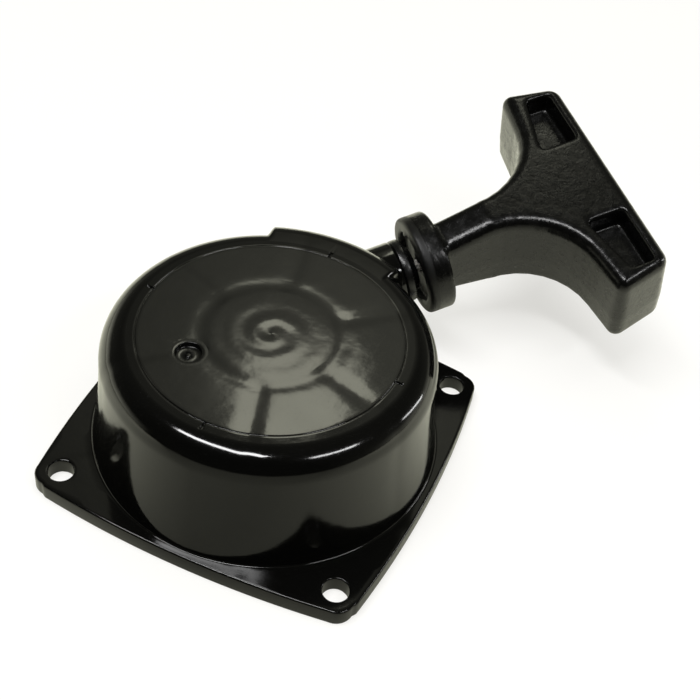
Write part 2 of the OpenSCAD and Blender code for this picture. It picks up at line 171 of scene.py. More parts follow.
# Lights: name, the two directions that each spans, width in metres, radiance, colour, shown in gloss
LIGHTS = (
    ("back_softbox", (-0.275, 0.539, 0.796), (-0.175, 0.579, 0.796), 0.225, 4.0, WARM, True),
    ("front_strip", (-0.414, -0.161, 0.895), (0.144, -0.322, 0.936), 0.12, 26.0, WHITE, True),
    ("right_strip", (0.515, -0.293, 0.806), (0.68, 0.028, 0.731), 0.08, 20.0, WHITE, True),
    ("low_right_strip", (0.831, 0.384, 0.403), (0.72, 0.67, 0.17), 0.06, 14.0, WHITE, True),
    ("fill", (-0.5, 0.0, 1.0), (0.5, 0.0, 1.0), 1.0, 2.2, WHITE, False),
    ("under_fill", (-0.4, -0.2, -1.0), (0.4, -0.2, -1.0), 0.8, 6.0, WHITE, False),
)


# ---- Settings ----


def size_mm(name, description, default):
    """A length in millimetres that the sidebar can change."""
    return FloatProperty(name=name, description=description, default=default, unit="NONE", min=0.0)


def colour(name, description, default):
    """A surface colour that the sidebar can change."""
    return FloatVectorProperty(
        name=name, description=description, default=default, subtype="COLOR", size=3, min=0.0, max=1.0
    )


class StarterSizes(bpy.types.PropertyGroup):
    """Sizes of the finished surfaces, in millimetres."""

    flange_t: size_mm("Flange thickness", "Thickness of the square flange", 4.2)
    side_bow: size_mm("Side bow", "How far the middle of a flange side bows out", 3.1)
    hole_edge: size_mm("Hole edge", "From a mounting hole's centre to the side's ends", 5.0)
    corner_r: size_mm("Corner radius", "Radius of the flange's corners", 4.0)
    drum_r: size_mm("Drum radius", "Radius of the drum wall at the flange", 38.8)
    drum_draft: size_mm("Draft", "How much smaller the wall is at its top", 0.7)
    rim_r: size_mm("Rim radius", "Radius of the drum's rounded top edge", 6.5)
    wall_t: size_mm("Wall", "Wall thickness of the drum", 2.6)
    base_fillet: size_mm("Base fillet", "Fillet between the drum wall and the flange", 0.5)
    flare: size_mm("Flare", "How far the wall's foot sweeps out above its fillet", 1.85)
    bulge: size_mm("Bulge", "How far the rope-exit sector stands out of the wall", 3.3)
    groove_r: size_mm("Groove radius", "Radius of the fine groove on the top", 30.0)
    groove_w: size_mm("Groove width", "Width of the fine groove and its tick marks", 0.45)
    groove_depth: size_mm("Groove depth", "Depth of the fine groove", 0.2)
    tick_depth: size_mm("Tick depth", "Depth of the four tick marks", 0.45)
    gate_dist: size_mm("Gate distance", "Distance of the gate dimple from the axis", 19.1)
    gate_d: size_mm("Gate diameter", "Diameter of the gate dimple", 6.0)
    rope_d: size_mm("Rope", "Diameter of the rope", 3.0)
    rope_off: size_mm("Rope offset", "Outermost winding's distance from the axis", 24.4)
    rope_z: size_mm("Rope height", "Height of the rope where it leaves the reel", 19.2)
    collar_reach: size_mm("Collar reach", "From the axis to the handle's collar, along the pull", 45.7)
    collar_z: size_mm("Collar height", "Height of the collar's centre", 23.6)
    boss_r: size_mm("Boss radius", "Radius of the rope boss and the guide's ring", 8.0)
    collar_r: size_mm("Collar radius", "Radius of the handle's collar", 12.5)
    collar_len: size_mm("Collar length", "Length of the handle's collar", 6.7)
    neck_w: size_mm("Neck width", "Width of the handle's neck", 10.0)
    neck_h: size_mm("Neck height", "Height of the neck at the collar", 17.6)
    bar_t: size_mm("Bar thickness", "Thickness of the T bar", 23.2)
    bar_len: size_mm("Bar length", "Length of the T bar", 67.6)
    bar_out: size_mm("Bar reach", "From the collar's face to the bar's outer side", 54.1)
    bar_w: size_mm("Bar width", "Width of the T bar at its ends", 14.6)
    pocket_depth: size_mm("Pocket depth", "Depth of the pockets in the bar", 5.5)


class StarterColours(bpy.types.PropertyGroup):
    """Base colours of the finishes."""

    housing: colour("Housing", "Gloss black housing plastic", (0.0018, 0.0018, 0.0016))
    grip: colour("Handle", "Black handle plastic", (0.0022, 0.0022, 0.002))
    guide: colour("Guide", "Black guide plastic", (0.0022, 0.0022, 0.0021))
    nylon: colour("Reel", "Dark moulded nylon of the reel", (0.035, 0.036, 0.04))
    steel: colour("Steel", "Zinc-plated steel", (0.6, 0.6, 0.57))
    spring: colour("Spring steel", "Blued spring steel", (0.16, 0.17, 0.21))
    bronze: colour("Bush", "Sintered bronze", (0.62, 0.4, 0.17))
    rope: colour("Rope", "Braided nylon rope", (0.62, 0.6, 0.55))
    floor: colour("Floor", "Pale studio floor", (0.3, 0.3, 0.3))


def sizes():
    """The sizes in use."""
    return bpy.context.scene.starter_sizes


def colours():
    """The colours in use."""
    return bpy.context.scene.starter_colours


# ---- Frames of reference ----


def axis_frame(roll):
    """Rows u, v, w: along the pull, across it, and up from it, rolled about u by an angle in degrees."""
    u = np.array(PULL["axis"], float)
    u /= np.linalg.norm(u)
    level = np.cross([0.0, 0.0, 1.0], u)
    level /= np.linalg.norm(level)
    up = np.cross(u, level)
    c, s = math.cos(math.radians(roll)), math.sin(math.radians(roll))
    return np.array([u, c * level + s * up, c * up - s * level])


def collar_point():
    """Centre of the collar's face: the reach along the pull's heading and the rope's offset beside it."""
    size = sizes()
    c, s = math.cos(PULL_HEADING), math.sin(PULL_HEADING)
    x = size.collar_reach * c - size.rope_off * s
    y = size.collar_reach * s + size.rope_off * c
    return np.array([x, y, size.collar_z])


def to_world(points, roll=0.0):
    """Points in the pull's frame (millimetres) carried to the row frame (millimetres)."""
    return collar_point() + np.asarray(points, float) @ axis_frame(roll)


# ---- Surface tools ----


class Surface:
    """A mesh gathered from grids of points. Shared borders are welded when it is built."""

    def __init__(self):
        self.points = []
        self.faces = []
        self.count = 0

    def add(self, grid, close_rows=False, close_columns=False):
        """Adds a grid of shape (rows, columns, 3) in millimetres as quads between neighbours."""
        rows, columns = grid.shape[:2]
        index = np.arange(rows * columns).reshape(rows, columns) + self.count
        if close_rows:
            index = np.vstack([index, index[:1]])
        if close_columns:
            index = np.hstack([index, index[:, :1]])
        quads = np.stack([index[:-1, :-1], index[:-1, 1:], index[1:, 1:], index[1:, :-1]], axis=-1)
        self.points.append(grid.reshape(-1, 3))
        self.faces.append(quads.reshape(-1, 4))
        self.count += rows * columns
        return self

    def build(self, name, crease=None, weld=2e-6):
        """Makes the object: quads with a repeated corner become triangles, points within the weld
        distance in metres become one, and faces turn outwards. A weld of 0 keeps every point."""
        mesh = quad_mesh(name, np.vstack(self.points) * MM, np.vstack(self.faces))
        clean = bmesh.new()
        clean.from_mesh(mesh)
        if weld:
            bmesh.ops.remove_doubles(clean, verts=clean.verts, dist=weld)
            bmesh.ops.dissolve_degenerate(clean, edges=clean.edges, dist=1e-8)
        bmesh.ops.recalc_face_normals(clean, faces=clean.faces)
        clean.to_mesh(mesh)
        clean.free()
        mesh.shade_smooth()
        if crease is not None:
            mesh.set_sharp_from_angle(angle=math.radians(crease))
        piece = bpy.data.objects.new(name, mesh)
        bpy.context.scene.collection.objects.link(piece)
        return piece


def quad_mesh(name, points, quads):
    """A mesh from metre points and quads, whose repeated neighbouring corners are dropped."""
    keep = quads != np.roll(quads, -1, axis=1)
    totals = keep.sum(axis=1)
    good = totals >= 3
    corners = quads[good][keep[good]]
    totals = totals[good]
    mesh = bpy.data.meshes.new(name)
    mesh.vertices.add(len(points))
    mesh.vertices.foreach_set("co", points.astype(np.float32).ravel())
    mesh.loops.add(len(corners))
    mesh.loops.foreach_set("vertex_index", corners.astype(np.int32))
    mesh.polygons.add(len(totals))
    starts = np.concatenate([[0], np.cumsum(totals)[:-1]])
    mesh.polygons.foreach_set("loop_start", starts.astype(np.int32))
    mesh.update(calc_edges=True)
    mesh.validate()
    return mesh


def arc(centre, radius, start, end, count=8):
    """Points on a circular arc between two angles in degrees, as (count + 1, 2)."""
    angle = np.radians(np.linspace(start, end, count + 1))
    return np.stack([centre[0] + radius * np.cos(angle), centre[1] + radius * np.sin(angle)], axis=1)


def rounded_path(corners, radii, count=6):
    """A closed path through the corners, each rounded by its own radius: two straight runs joined by an
    arc that touches both, found from the half angle between them."""
    corners = [np.array(corner, float) for corner in corners]
    path = []
    for i, (here, radius) in enumerate(zip(corners, radii)):
        if radius <= 0:
            path.append(here[None])
            continue
        back = corners[i - 1] - here
        ahead = corners[(i + 1) % len(corners)] - here
        back /= np.linalg.norm(back)
        ahead /= np.linalg.norm(ahead)
        half = math.acos(np.clip(back @ ahead, -1, 1)) / 2
        middle = here + (back + ahead) / np.linalg.norm(back + ahead) * radius / math.sin(half)
        first = here + back * radius / math.tan(half) - middle
        final = here + ahead * radius / math.tan(half) - middle
        a = math.degrees(math.atan2(first[1], first[0]))
        b = math.degrees(math.atan2(final[1], final[0]))
        b = a + (b - a + 180) % 360 - 180
        path.append(arc(middle, radius, a, b, count))
    return np.vstack(path)


def spun(profile, count=96, z=0.0):
    """A profile of (radius, height) turned about +Z as a closed grid (heights, angles, 3)."""
    angle = np.linspace(0, 2 * np.pi, count, endpoint=False)
    radius, height = profile[:, 0], profile[:, 1] + z
    x = radius[:, None] * np.cos(angle)
    y = radius[:, None] * np.sin(angle)
    return np.stack([x, y, np.broadcast_to(height[:, None], x.shape)], axis=-1)


def on_pull_axis(grid):
    """A grid spun about +Z laid along the pull: its height becomes the distance along u."""
    local = np.stack([grid[..., 2], grid[..., 0], grid[..., 1]], axis=-1)
    return to_world(local)


def swept(path, radius, sides=12):
    """A round tube about a path: each ring stands square to the path, with its sides measured from
    the part of +Z that is square to it."""
    ahead = np.gradient(path, axis=0)
    ahead /= np.linalg.norm(ahead, axis=1, keepdims=True)
    side = np.cross(ahead, [0.0, 0.0, 1.0])
    side /= np.linalg.norm(side, axis=1, keepdims=True)
    up = np.cross(side, ahead)
    angle = np.linspace(0, 2 * np.pi, sides, endpoint=False)[None, :, None]
    radius = np.broadcast_to(radius, len(path))[:, None, None]
    ring = np.cos(angle) * side[:, None] + np.sin(angle) * up[:, None]
    return path[:, None] + radius * ring


def capped(grid):
    """A tube's grid with a middle point at each end, so that it closes."""
    first = np.broadcast_to(grid[:1].mean(axis=1, keepdims=True), grid[:1].shape)
    last = np.broadcast_to(grid[-1:].mean(axis=1, keepdims=True), grid[-1:].shape)
    return np.concatenate([first, grid, last])


def smooth_step(value, low, high):
    """0 below low, 1 above high, and 3t^2 - 2t^3 between."""
    t = np.clip((value - low) / (high - low), 0, 1)
    return t * t * (3 - 2 * t)


def finish_piece(piece, body, material, slot, *nodes):
    """Gives a piece its material and its body, and hides the plain nodes that it stands for. The slot is not used.
    """
    piece.data.materials.clear()
    piece.data.materials.append(material)
    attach(piece, body)
    if nodes:
        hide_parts(*nodes)
    return piece


# ---- Housing ----


def bulge_share(angle):
    """How far the rope-exit sector stands out at an angle in degrees: up over 2.4 degrees at its start,
    level, and down over 3.4 degrees at its end."""
    return smooth_step(angle, 63.8, 66.2) * (1 - smooth_step(angle, 115.3, 118.7))


def flange_outline(angle):
    """Radius of the flange's outline at each angle in degrees: four bowed arcs meeting in rounded
    corners, sampled closely and read off by angle."""
    size = sizes()
    end = MOUNT["spacing_x_mm"] / 2 + size.hole_edge
    middle = end + size.side_bow
    bow_r = (end**2 + size.side_bow**2) / (2 * size.side_bow)
    half = math.asin((end - size.corner_r) / bow_r)
    t = np.linspace(-half, half, 160)
    side = np.stack([bow_r * np.sin(t), bow_r - middle - bow_r * np.cos(t)], axis=1)
    centre = end - size.corner_r
    bend = arc((centre, side[0, 1] + size.corner_r), size.corner_r, -86, -4, 40)
    quarter = np.vstack([side, bend])
    turns = [np.array([[0, 1], [-1, 0]]), np.array([[-1, 0], [0, -1]]), np.array([[0, -1], [1, 0]])]
    loop = np.vstack([quarter] + [quarter @ turn for turn in turns])
    at = np.degrees(np.arctan2(loop[:, 1], loop[:, 0])) % 360
    order = np.argsort(at)
    return np.interp(angle, at[order], np.hypot(loop[:, 0], loop[:, 1])[order], period=360)


def housing_angles():
    """Angles of the housing's columns: an even spacing, closer at the corners, ticks, gate and steps."""
    corners = [45 + 90 * k + step for k in range(4) for step in np.arange(-6, 6.1, 0.6)]
    ticks = [90 * k + step for k in range(4) for step in (-0.75, -0.55, -0.42, -0.3, 0.3, 0.42, 0.55, 0.75)]
    steps = list(np.arange(63.4, 66.7, 0.4)) + list(np.arange(114.8, 119.3, 0.5))
    edges = [45 + 90 * k + side * CORNER_SPAN for k in range(4) for side in (-1, 1)]
    every = np.concatenate([np.arange(0, 360, 1.5), corners, ticks, steps, edges]) % 360
    return np.unique(np.round(every, 3))


def band_height(radius):
    """Height of the flat top and of the band round its groove, which falls away outwards."""
    fall = math.tan(math.radians(BAND_LEAN)) * np.maximum(radius - sizes().groove_r - 0.35, 0)
    return DRUM_TOP - fall


def wall_rows(angles):
    """The drum's outer surface: (radius, height) rows for every column, from the flange's top up the
    base fillet, the drafted wall and the rim to the flat top. The wall sweeps out towards its foot as
    the square of the distance down from the rim. The sector adds to the radius, and sweep and fillet
    shrink where the flange leaves them no room."""
    size = sizes()
    out = size.bulge * bulge_share(angles)
    room = flange_outline(angles) - size.drum_r - out - FLANGE_ROOM
    flare = np.clip(room - size.base_fillet, 0.0, size.flare)
    fillet = np.clip(room - flare, 0.15, size.base_fillet)
    band_lean = math.radians(BAND_LEAN)
    rim_inner = size.drum_r - size.drum_draft - size.rim_r
    rim_end = rim_inner + size.rim_r * math.sin(band_lean)
    rim_z = band_height(rim_end) - size.rim_r * math.cos(band_lean)
    lean = np.arctan(2 * flare / (rim_z - size.flange_t))
    rows = []
    for share in np.linspace(0, 1, 7):
        t = math.radians(270) - (math.radians(90) - lean) * share
        radius = size.drum_r + out + flare + fillet * (np.cos(lean) + np.cos(t))
        rows.append((radius, size.flange_t + fillet + fillet * np.sin(t)))
    low = size.flange_t + fillet * (1 - np.sin(lean))
    for share in np.linspace(0, 1, 13)[1:]:
        radius = size.drum_r - size.drum_draft * share + out + flare * (1 - share) ** 2
        rows.append((radius, low + (rim_z - low) * share))
    for t in np.linspace(0, math.radians(90) - band_lean, 17)[1:]:
        radius = rim_inner + out + size.rim_r * math.cos(t)
        rows.append((radius, np.full_like(out, rim_z + size.rim_r * math.sin(t))))
    return rows


def disc_radii():
    """Radii of the flat top's rows, from its edge in to the axis: close at the groove and the ticks."""
    size = sizes()
    g, w = size.groove_r, size.groove_w / 2
    near = [g + 1.95, g + 1.75, g + 1.2, g + 0.6]
    groove = [g + w + 0.12, g + w, g + w * 0.5, g, g - w * 0.5, g - w, g - w - 0.12]
    inner = list(np.arange(g - 0.9, 23.6, -1.0)) + list(np.arange(23.4, 15.0, -0.4))
    return np.array(near + groove + inner + list(np.arange(14.4, 1.0, -1.2)) + [0.5, 0.0])


def disc_height(radius, angle):
    """Height of the flat top: a rounded-bottom groove, four ticks out from it on the sloping
    band, and a pit under the gate's own piece."""
    size = sizes()
    w = size.groove_w / 2
    tick_w = w * 1.3
    groove = 1 - smooth_step(np.abs(radius - size.groove_r), w * 0.35, w * 1.1)
    off = (angle + 45) % 90 - 45
    across = np.abs(np.radians(off)) * radius
    tick = 1 - smooth_step(across, tick_w * 0.6, tick_w * 1.3)
    tick = tick * smooth_step(radius, size.groove_r - 0.1, size.groove_r)
    tick = tick * (1 - smooth_step(radius, size.groove_r + 1.7, size.groove_r + 1.9))
    x = radius * np.cos(np.radians(angle)) - size.gate_dist * math.cos(math.radians(GATE_ANGLE))
    y = radius * np.sin(np.radians(angle)) - size.gate_dist * math.sin(math.radians(GATE_ANGLE))
    pit = GATE_PIT * (1 - smooth_step(np.hypot(x, y), size.gate_d / 2, size.gate_d / 2 + 0.4))
    return band_height(radius) - np.maximum(size.groove_depth * groove, size.tick_depth * tick) - pit


def polar_rows(rows, angles):
    """(radius, height) rows as a grid of points (rows, columns, 3)."""
    c, s = np.cos(np.radians(angles)), np.sin(np.radians(angles))
    out = []
    for radius, height in rows:
        radius = np.broadcast_to(radius, angles.shape)
        out.append(np.stack([radius * c, radius * s, np.broadcast_to(height, angles.shape)], axis=1))
    return np.stack(out)


def corner_patch(angles, middle, inner, outer):
    """The outline of the patch round a hole: along the inner edge, out, back along the outer edge and
    in again. Gives the hole's centre, the outline's points and their directions from the centre."""
    across = (angles - middle + 180) % 360 - 180
    near = np.sort(across[np.abs(across) <= CORNER_SPAN + 1e-4]) + middle
    ends = np.array([middle - CORNER_SPAN, middle + CORNER_SPAN])
    lines = inner(ends) + (outer(ends) - inner(ends)) * FACE_SHARES[:, None]
    radius = np.concatenate([inner(near), lines[1:-1, 1], outer(near)[::-1], lines[1:-1, 0][::-1]])
    turn = np.concatenate([near, np.full(3, ends[1]), near[::-1], np.full(3, ends[0])])
    loop = radius[:, None] * np.stack([np.cos(np.radians(turn)), np.sin(np.radians(turn))], axis=1)
    centre = HOLE_AT * np.array([math.cos(math.radians(middle)), math.sin(math.radians(middle))])
    away = loop - centre
    return centre, loop, away / np.linalg.norm(away, axis=1, keepdims=True)


def flange_face(surface, angles, inner, outer, height, hole_r):
    """One flat face of the flange between two radii, as a ring grid round each hole and a plain polar
    grid between the corners. inner and outer give the radius at an angle."""
    for middle in (45, 135, 225, 315):
        far = (angles - middle) % 360
        between = np.sort(far[(far >= CORNER_SPAN - 1e-4) & (far <= 90 - CORNER_SPAN + 1e-4)]) + middle
        width = outer(between) - inner(between)
        rows = [(inner(between) + width * share, height) for share in FACE_SHARES]
        surface.add(polar_rows(rows, between))
        centre, loop, away = corner_patch(angles, middle, inner, outer)
        ring = centre + hole_r * away
        steps = np.array([0, 0.08, 0.3, 0.65, 1.0])[:, None, None]
        grid = ring + (loop - ring) * steps
        flat = np.concatenate([grid, np.full(grid.shape[:2] + (1,), height)], axis=2)
        surface.add(flat, close_columns=True)


def hole_walls(surface, angles, lower_edges, upper_edges, top):
    """The four mounting holes' walls with rounded mouths. Their columns start in the directions of the
    upper face's patch and turn evenly to those of the lower one."""
    mouth = HOLE_R + HOLE_ROUND
    upper = arc((mouth, top - HOLE_ROUND), HOLE_ROUND, 90, 180, 4)
    lower = arc((mouth, HOLE_ROUND), HOLE_ROUND, 180, 270, 4)
    profile = np.vstack([upper, lower])
    share = np.linspace(0, 1, len(profile))[:, None, None]
    for middle in (45, 135, 225, 315):
        centre, _, first = corner_patch(angles, middle, *upper_edges)
        last = corner_patch(angles, middle, *lower_edges)[2]
        away = first + (last - first) * share
        away /= np.linalg.norm(away, axis=2, keepdims=True)
        flat = centre + profile[:, 0][:, None, None] * away
        height = np.broadcast_to(profile[:, 1][:, None, None], flat.shape[:2] + (1,))
        surface.add(np.concatenate([flat, height], axis=2), close_columns=True)


def housing_surface():
    """The whole moulding as one closed skin: drum and disc, flange faces, holes and edge, then the
    cavity with its sector recess, centre post and screw hole."""
    size = sizes()
    angles = housing_angles()
    surface = Surface()
    wall = wall_rows(angles)
    radii = disc_radii()
    disc = [(np.full_like(angles, r), disc_height(r, angles)) for r in radii]
    surface.add(polar_rows(wall + disc, angles), close_columns=True)

    outline = flange_outline(angles)

    def base_of_wall(at):
        return np.interp(at, angles, wall[0][0], period=360)

    def top_edge(at):
        return flange_outline(at) - EDGE_R

    def foot_edge(at):
        return flange_outline(at) - FOOT_R

    mouth_r = size.drum_r - size.drum_draft - size.wall_t + 0.3
    recess = size.bulge - 0.4

    def recess_share(at):
        return smooth_step(at, 67.5, 70) * (1 - smooth_step(at, 112, 114.5))

    def mouth(at):
        return mouth_r + recess * recess_share(at) + 0.4

    flange_face(surface, angles, base_of_wall, top_edge, size.flange_t, HOLE_R + HOLE_ROUND)
    flange_face(surface, angles, mouth, foot_edge, 0.0, HOLE_R + HOLE_ROUND)
    hole_walls(surface, angles, (mouth, foot_edge), (base_of_wall, top_edge), size.flange_t)
    upper = [(outline - EDGE_R + EDGE_R * math.cos(t), size.flange_t - EDGE_R + EDGE_R * math.sin(t))
             for t in np.radians(np.linspace(90, 0, 6))]
    lower = [(outline - FOOT_R + FOOT_R * math.cos(t), FOOT_R + FOOT_R * math.sin(t))
             for t in np.radians(np.linspace(0, -90, 4))]
    surface.add(polar_rows(upper + lower, angles), close_columns=True)

    ceiling = top_of("spring_case")
    post_end = foot_of("axle_sleeve")
    depth = recess * recess_share(angles)
    shelf = DRUM_TOP - size.rim_r + 0.4
    inside = [(mouth_r + depth + 0.4, 0.0), (mouth_r + depth, 0.4), (mouth_r + depth, shelf - 3)]
    inside += [(mouth_r + depth, shelf - 0.4), (mouth_r + depth * 0.9, shelf), (mouth_r, shelf + 0.2)]
    inside += [(mouth_r - 1 + math.cos(t), ceiling - 1 + math.sin(t)) for t in np.radians([0, 30, 60, 90])]
    inside += [(POST_R + 0.8, ceiling), (POST_R, ceiling - 0.8), (POST_R, post_end + 0.3)]
    inside += [(POST_R - 0.3, post_end), (SCREW_HOLE_R, post_end)]
    inside += [(SCREW_HOLE_R, SCREW_HOLE_END), (0.0, SCREW_HOLE_END)]
    surface.add(polar_rows(inside, angles), close_columns=True)
    return surface


def gate_surface():
    """The gate dimple, turned about its own axis: a rounded lip, a short wall down to a plain floor and
    the stub of the gate in the middle."""
    size = sizes()
    r = size.gate_d / 2
    lip = 0.012
    profile = np.array([
        (0.0, -2.0), (r + 0.5, -2.0), (r + 1.2, -0.05), (r + 1.2, lip * 0.3), (r + 0.7, lip * 0.8),
        (r + 0.15, lip), (r + 0.05, -0.02), (r, -0.1), (r - 0.04, -0.2), (r - 0.08, -1.0),
        (r - 0.14, -1.12), (r - 0.3, -1.2), (0.85, -1.2), (0.74, -1.14), (0.68, -0.95),
        (0.55, -0.82), (0.3, -0.8), (0.0, -0.8)])
    grid = spun(profile, 64, DRUM_TOP)
    turn = math.radians(GATE_ANGLE)
    middle = np.array([size.gate_dist * math.cos(turn), size.gate_dist * math.sin(turn), 0.0])
    return Surface().add(grid + middle, close_columns=True)


def boss_surface():
    """The rope boss: a rounded tube end along the pull, from inside the wall to the guide's ring."""
    size = sizes()
    end = -RING_GAP - RING_W
    r = size.boss_r
    profile = np.array([
        (4.9, -13.0), (r, -13.0), (r, end - 0.7), (r - 0.08, end - 0.35), (r - 0.3, end - 0.12),
        (r - 0.6, end - 0.02), (4.9, end - 0.02), (4.9, -13.0)])
    return Surface().add(on_pull_axis(spun(profile, 72)), close_columns=True)


def guide_surface():
    """The rope guide's half section turned about the pull: its tube in the wall with a flared mouth,
    the ring, and a rounded nose with a flared throat."""
    size = sizes()
    r = size.boss_r
    face, back = -RING_GAP, -RING_GAP - RING_W
    start = back - 11.6
    bore = 2.2
    profile = np.vstack([
        [(5.0, start + 0.4), (5.0, back), (r - 0.5, back), (r - 0.1, back + 0.15), (r, back + 0.5)],
        arc((r - 0.7, face - 0.7), 0.7, 0, 90, 5),
        [(6.4, face), (6.2, face + 0.12)],
        arc((5.3, -0.8), 0.5, 20, 90, 4),
        [(4.4, -0.3)],
        arc((4.2, -2.3), 2.0, 90, 180, 6),
        [(bore, -4.0), (bore, start + 3.6)],
        arc((bore + 2.2, start + 2.2), 2.2, 180, 270, 6),
        [(4.7, start), (5.0, start + 0.4)]])
    return Surface().add(on_pull_axis(spun(profile, 72)), close_columns=True)


# ---- Handle ----


def outline_distance(u, v, path):
    """Signed distance from (u, v) to a closed outline: the least distance to its straight pieces,
    negative where a line running out to one side crosses the outline an odd number of times."""
    best = np.full(np.broadcast(u, v).shape, 1e9)
    inside = np.zeros(best.shape, bool)
    for (ax, ay), (bx, by) in zip(path, np.roll(path, -1, axis=0)):
        ex, ey = bx - ax, by - ay
        length = ex * ex + ey * ey
        if length < 1e-12:
            continue
        t = np.clip(((u - ax) * ex + (v - ay) * ey) / length, 0, 1)
        best = np.minimum(best, (u - ax - t * ex) ** 2 + (v - ay - t * ey) ** 2)
        if abs(ey) > 1e-12:
            inside ^= ((ay > v) != (by > v)) & (u < ax + ex * (v - ay) / ey)
    return np.where(inside, -1, 1) * np.sqrt(best)


def soft_min(a, b, width):
    """The lesser of two distances, rounded where they meet: less h^2 width / 4, h falling from 1 where
    they're equal to 0 where they differ by the width."""
    h = np.maximum(width - np.abs(a - b), 0) / width
    return np.minimum(a, b) - h * h * width / 4


def soft_cut(a, b, width):
    """Distance a with b taken away, rounded at the rim."""
    return -soft_min(-a, b, width)


def rounded_sum(a, b, radius):
    """Distance to where both a and b are negative, with the edge between them rounded."""
    a, b = a + radius, b + radius
    outside = np.hypot(np.maximum(a, 0), np.maximum(b, 0))
    return np.minimum(np.maximum(a, b), 0) + outside - radius


def handle_body(u, v, w):
    """Distance to the solid T: its outline, drafted from the parting plane, rounded into upper and
    lower faces that rise evenly from the collar to the bar, and joined softly to the collar."""
    size = sizes()
    bar_in = size.bar_out - size.bar_w
    half_in = size.bar_len / 2
    half_out = half_in - BAR_SLANT
    neck_end = bar_in - BAR_SWELL
    n = size.neck_w / 2
    outline = rounded_path(
        [(-2, -n), (neck_end, -n), (bar_in, -half_in), (size.bar_out, -half_out),
         (size.bar_out, half_out), (bar_in, half_in), (neck_end, n), (-2, n)],
        [0, NECK_FILLET, INNER_ROUND, OUTER_ROUND, OUTER_ROUND, INNER_ROUND, NECK_FILLET, 0], 8)
    draft = DRAFT_SLOPE * (np.abs(w - PARTING) - DRAFT_DATUM)
    sides = outline_distance(u, v, outline) + draft
    slope = (size.bar_t - size.neck_h) / 2
    rise = np.clip((u - size.collar_len) / (NECK_FULL - size.collar_len), 0, 1)
    face = np.abs(w) - size.neck_h / 2 - slope * rise
    body = rounded_sum(sides, face, FACE_ROUND)
    half = size.collar_len / 2
    collar = rounded_sum(np.abs(u - half) - half, np.hypot(v, w) - size.collar_r, COLLAR_ROUND)
    return soft_min(body, collar, COLLAR_BLEND)


def handle_field(u, v, w):
    """Distance to the handle's skin: the solid T less two pockets in each face, with walls that lean in
    towards their floors, the guide's recess, the rope's bore and the knot's chamber."""
    size = sizes()
    bar_in = size.bar_out - size.bar_w
    pocket_out = size.bar_out - POCKET_WALL
    pocket_end = size.bar_len / 2 - POCKET_END
    outline = rounded_path(
        [(bar_in + POCKET_IN, POCKET_START), (pocket_out, POCKET_START),
         (pocket_out, pocket_end), (bar_in + POCKET_END, pocket_end)], [POCKET_CORNER] * 4, 5)
    depth_in = size.bar_t / 2 - np.abs(w)
    pocket = outline_distance(u, np.abs(v), outline) + POCKET_SLOPE * depth_in
    pocket = -soft_min(-pocket, size.pocket_depth - depth_in, 0.8)
    body = soft_cut(handle_body(u, v, w), pocket, 1.1)
    radius = np.hypot(v, w)
    recess = np.maximum(radius - RECESS_R, u - RECESS_DEPTH)
    body = soft_cut(body, recess, 0.5)
    bore = np.maximum(radius - BORE_R, u - KNOT_AT)
    body = soft_cut(body, bore, 0.4)
    width = np.maximum(np.abs(v) - CHAMBER_WIDE, w - CHAMBER_WIDE)
    chamber = np.maximum(np.abs(u - KNOT_MIDDLE) - CHAMBER_LONG, width)
    return soft_cut(body, chamber, 0.6)


def net_surface(field, low, high, step):
    """The zero skin of a distance field: one point in each grid cell that the skin crosses, moved onto
    it along the field's slope, and one quad round each grid edge that the skin crosses."""
    axes = [np.arange(a, b + step, step) for a, b in zip(low, high)]
    grid = np.meshgrid(*axes, indexing="ij", sparse=True)
    inside = field(*grid) < 0
    corners = [inside[i:inside.shape[0] - 1 + i, j:inside.shape[1] - 1 + j, k:inside.shape[2] - 1 + k]
               for i in (0, 1) for j in (0, 1) for k in (0, 1)]
    total = np.sum(corners, axis=0)
    crossed = (total > 0) & (total < 8)
    number = np.full(crossed.shape, -1)
    number[crossed] = np.arange(crossed.sum())
    cell = np.argwhere(crossed)
    middle = np.array(low) + (cell + 0.5) * step
    points = middle.copy()
    nudge = step * 0.05
    for _ in range(5):
        value = field(*points.T)
        slope = np.stack([(field(*(points + nudge * np.eye(3)[i]).T) - value) / nudge for i in range(3)], 1)
        points -= 0.9 * (value / np.maximum((slope**2).sum(axis=1), 0.1))[:, None] * slope
        points = np.clip(points, middle - 0.9 * step, middle + 0.9 * step)
    quads = []
    for axis in range(3):
        a, b = [k for k in range(3) if k != axis]
        moved = np.moveaxis(inside, axis, 0)
        cells = np.moveaxis(number, axis, 0)
        change = moved[1:, 1:-1, 1:-1] != moved[:-1, 1:-1, 1:-1]
        near = [cells[:, :-1, :-1], cells[:, 1:, :-1], cells[:, 1:, 1:], cells[:, :-1, 1:]]
        quads.append(np.stack([block[change] for block in near], axis=1))
    return points, np.vstack(quads)


def handle_piece():
    """The handle as one welded skin."""
    size = sizes()
    margin = 1.5
    reach = size.bar_len / 2 + margin
    tall = size.collar_r + margin
    low, high = (-margin, -reach, -tall), (size.bar_out + margin, reach, tall)
    points, quads = net_surface(handle_field, low, high, HANDLE_STEP)
    surface = Surface()
    surface.points = [to_world(points, HANDLE_ROLL)]
    surface.faces = [quads]
    return surface.build("handle_grip", weld=1e-7)


# ---- Rope ----


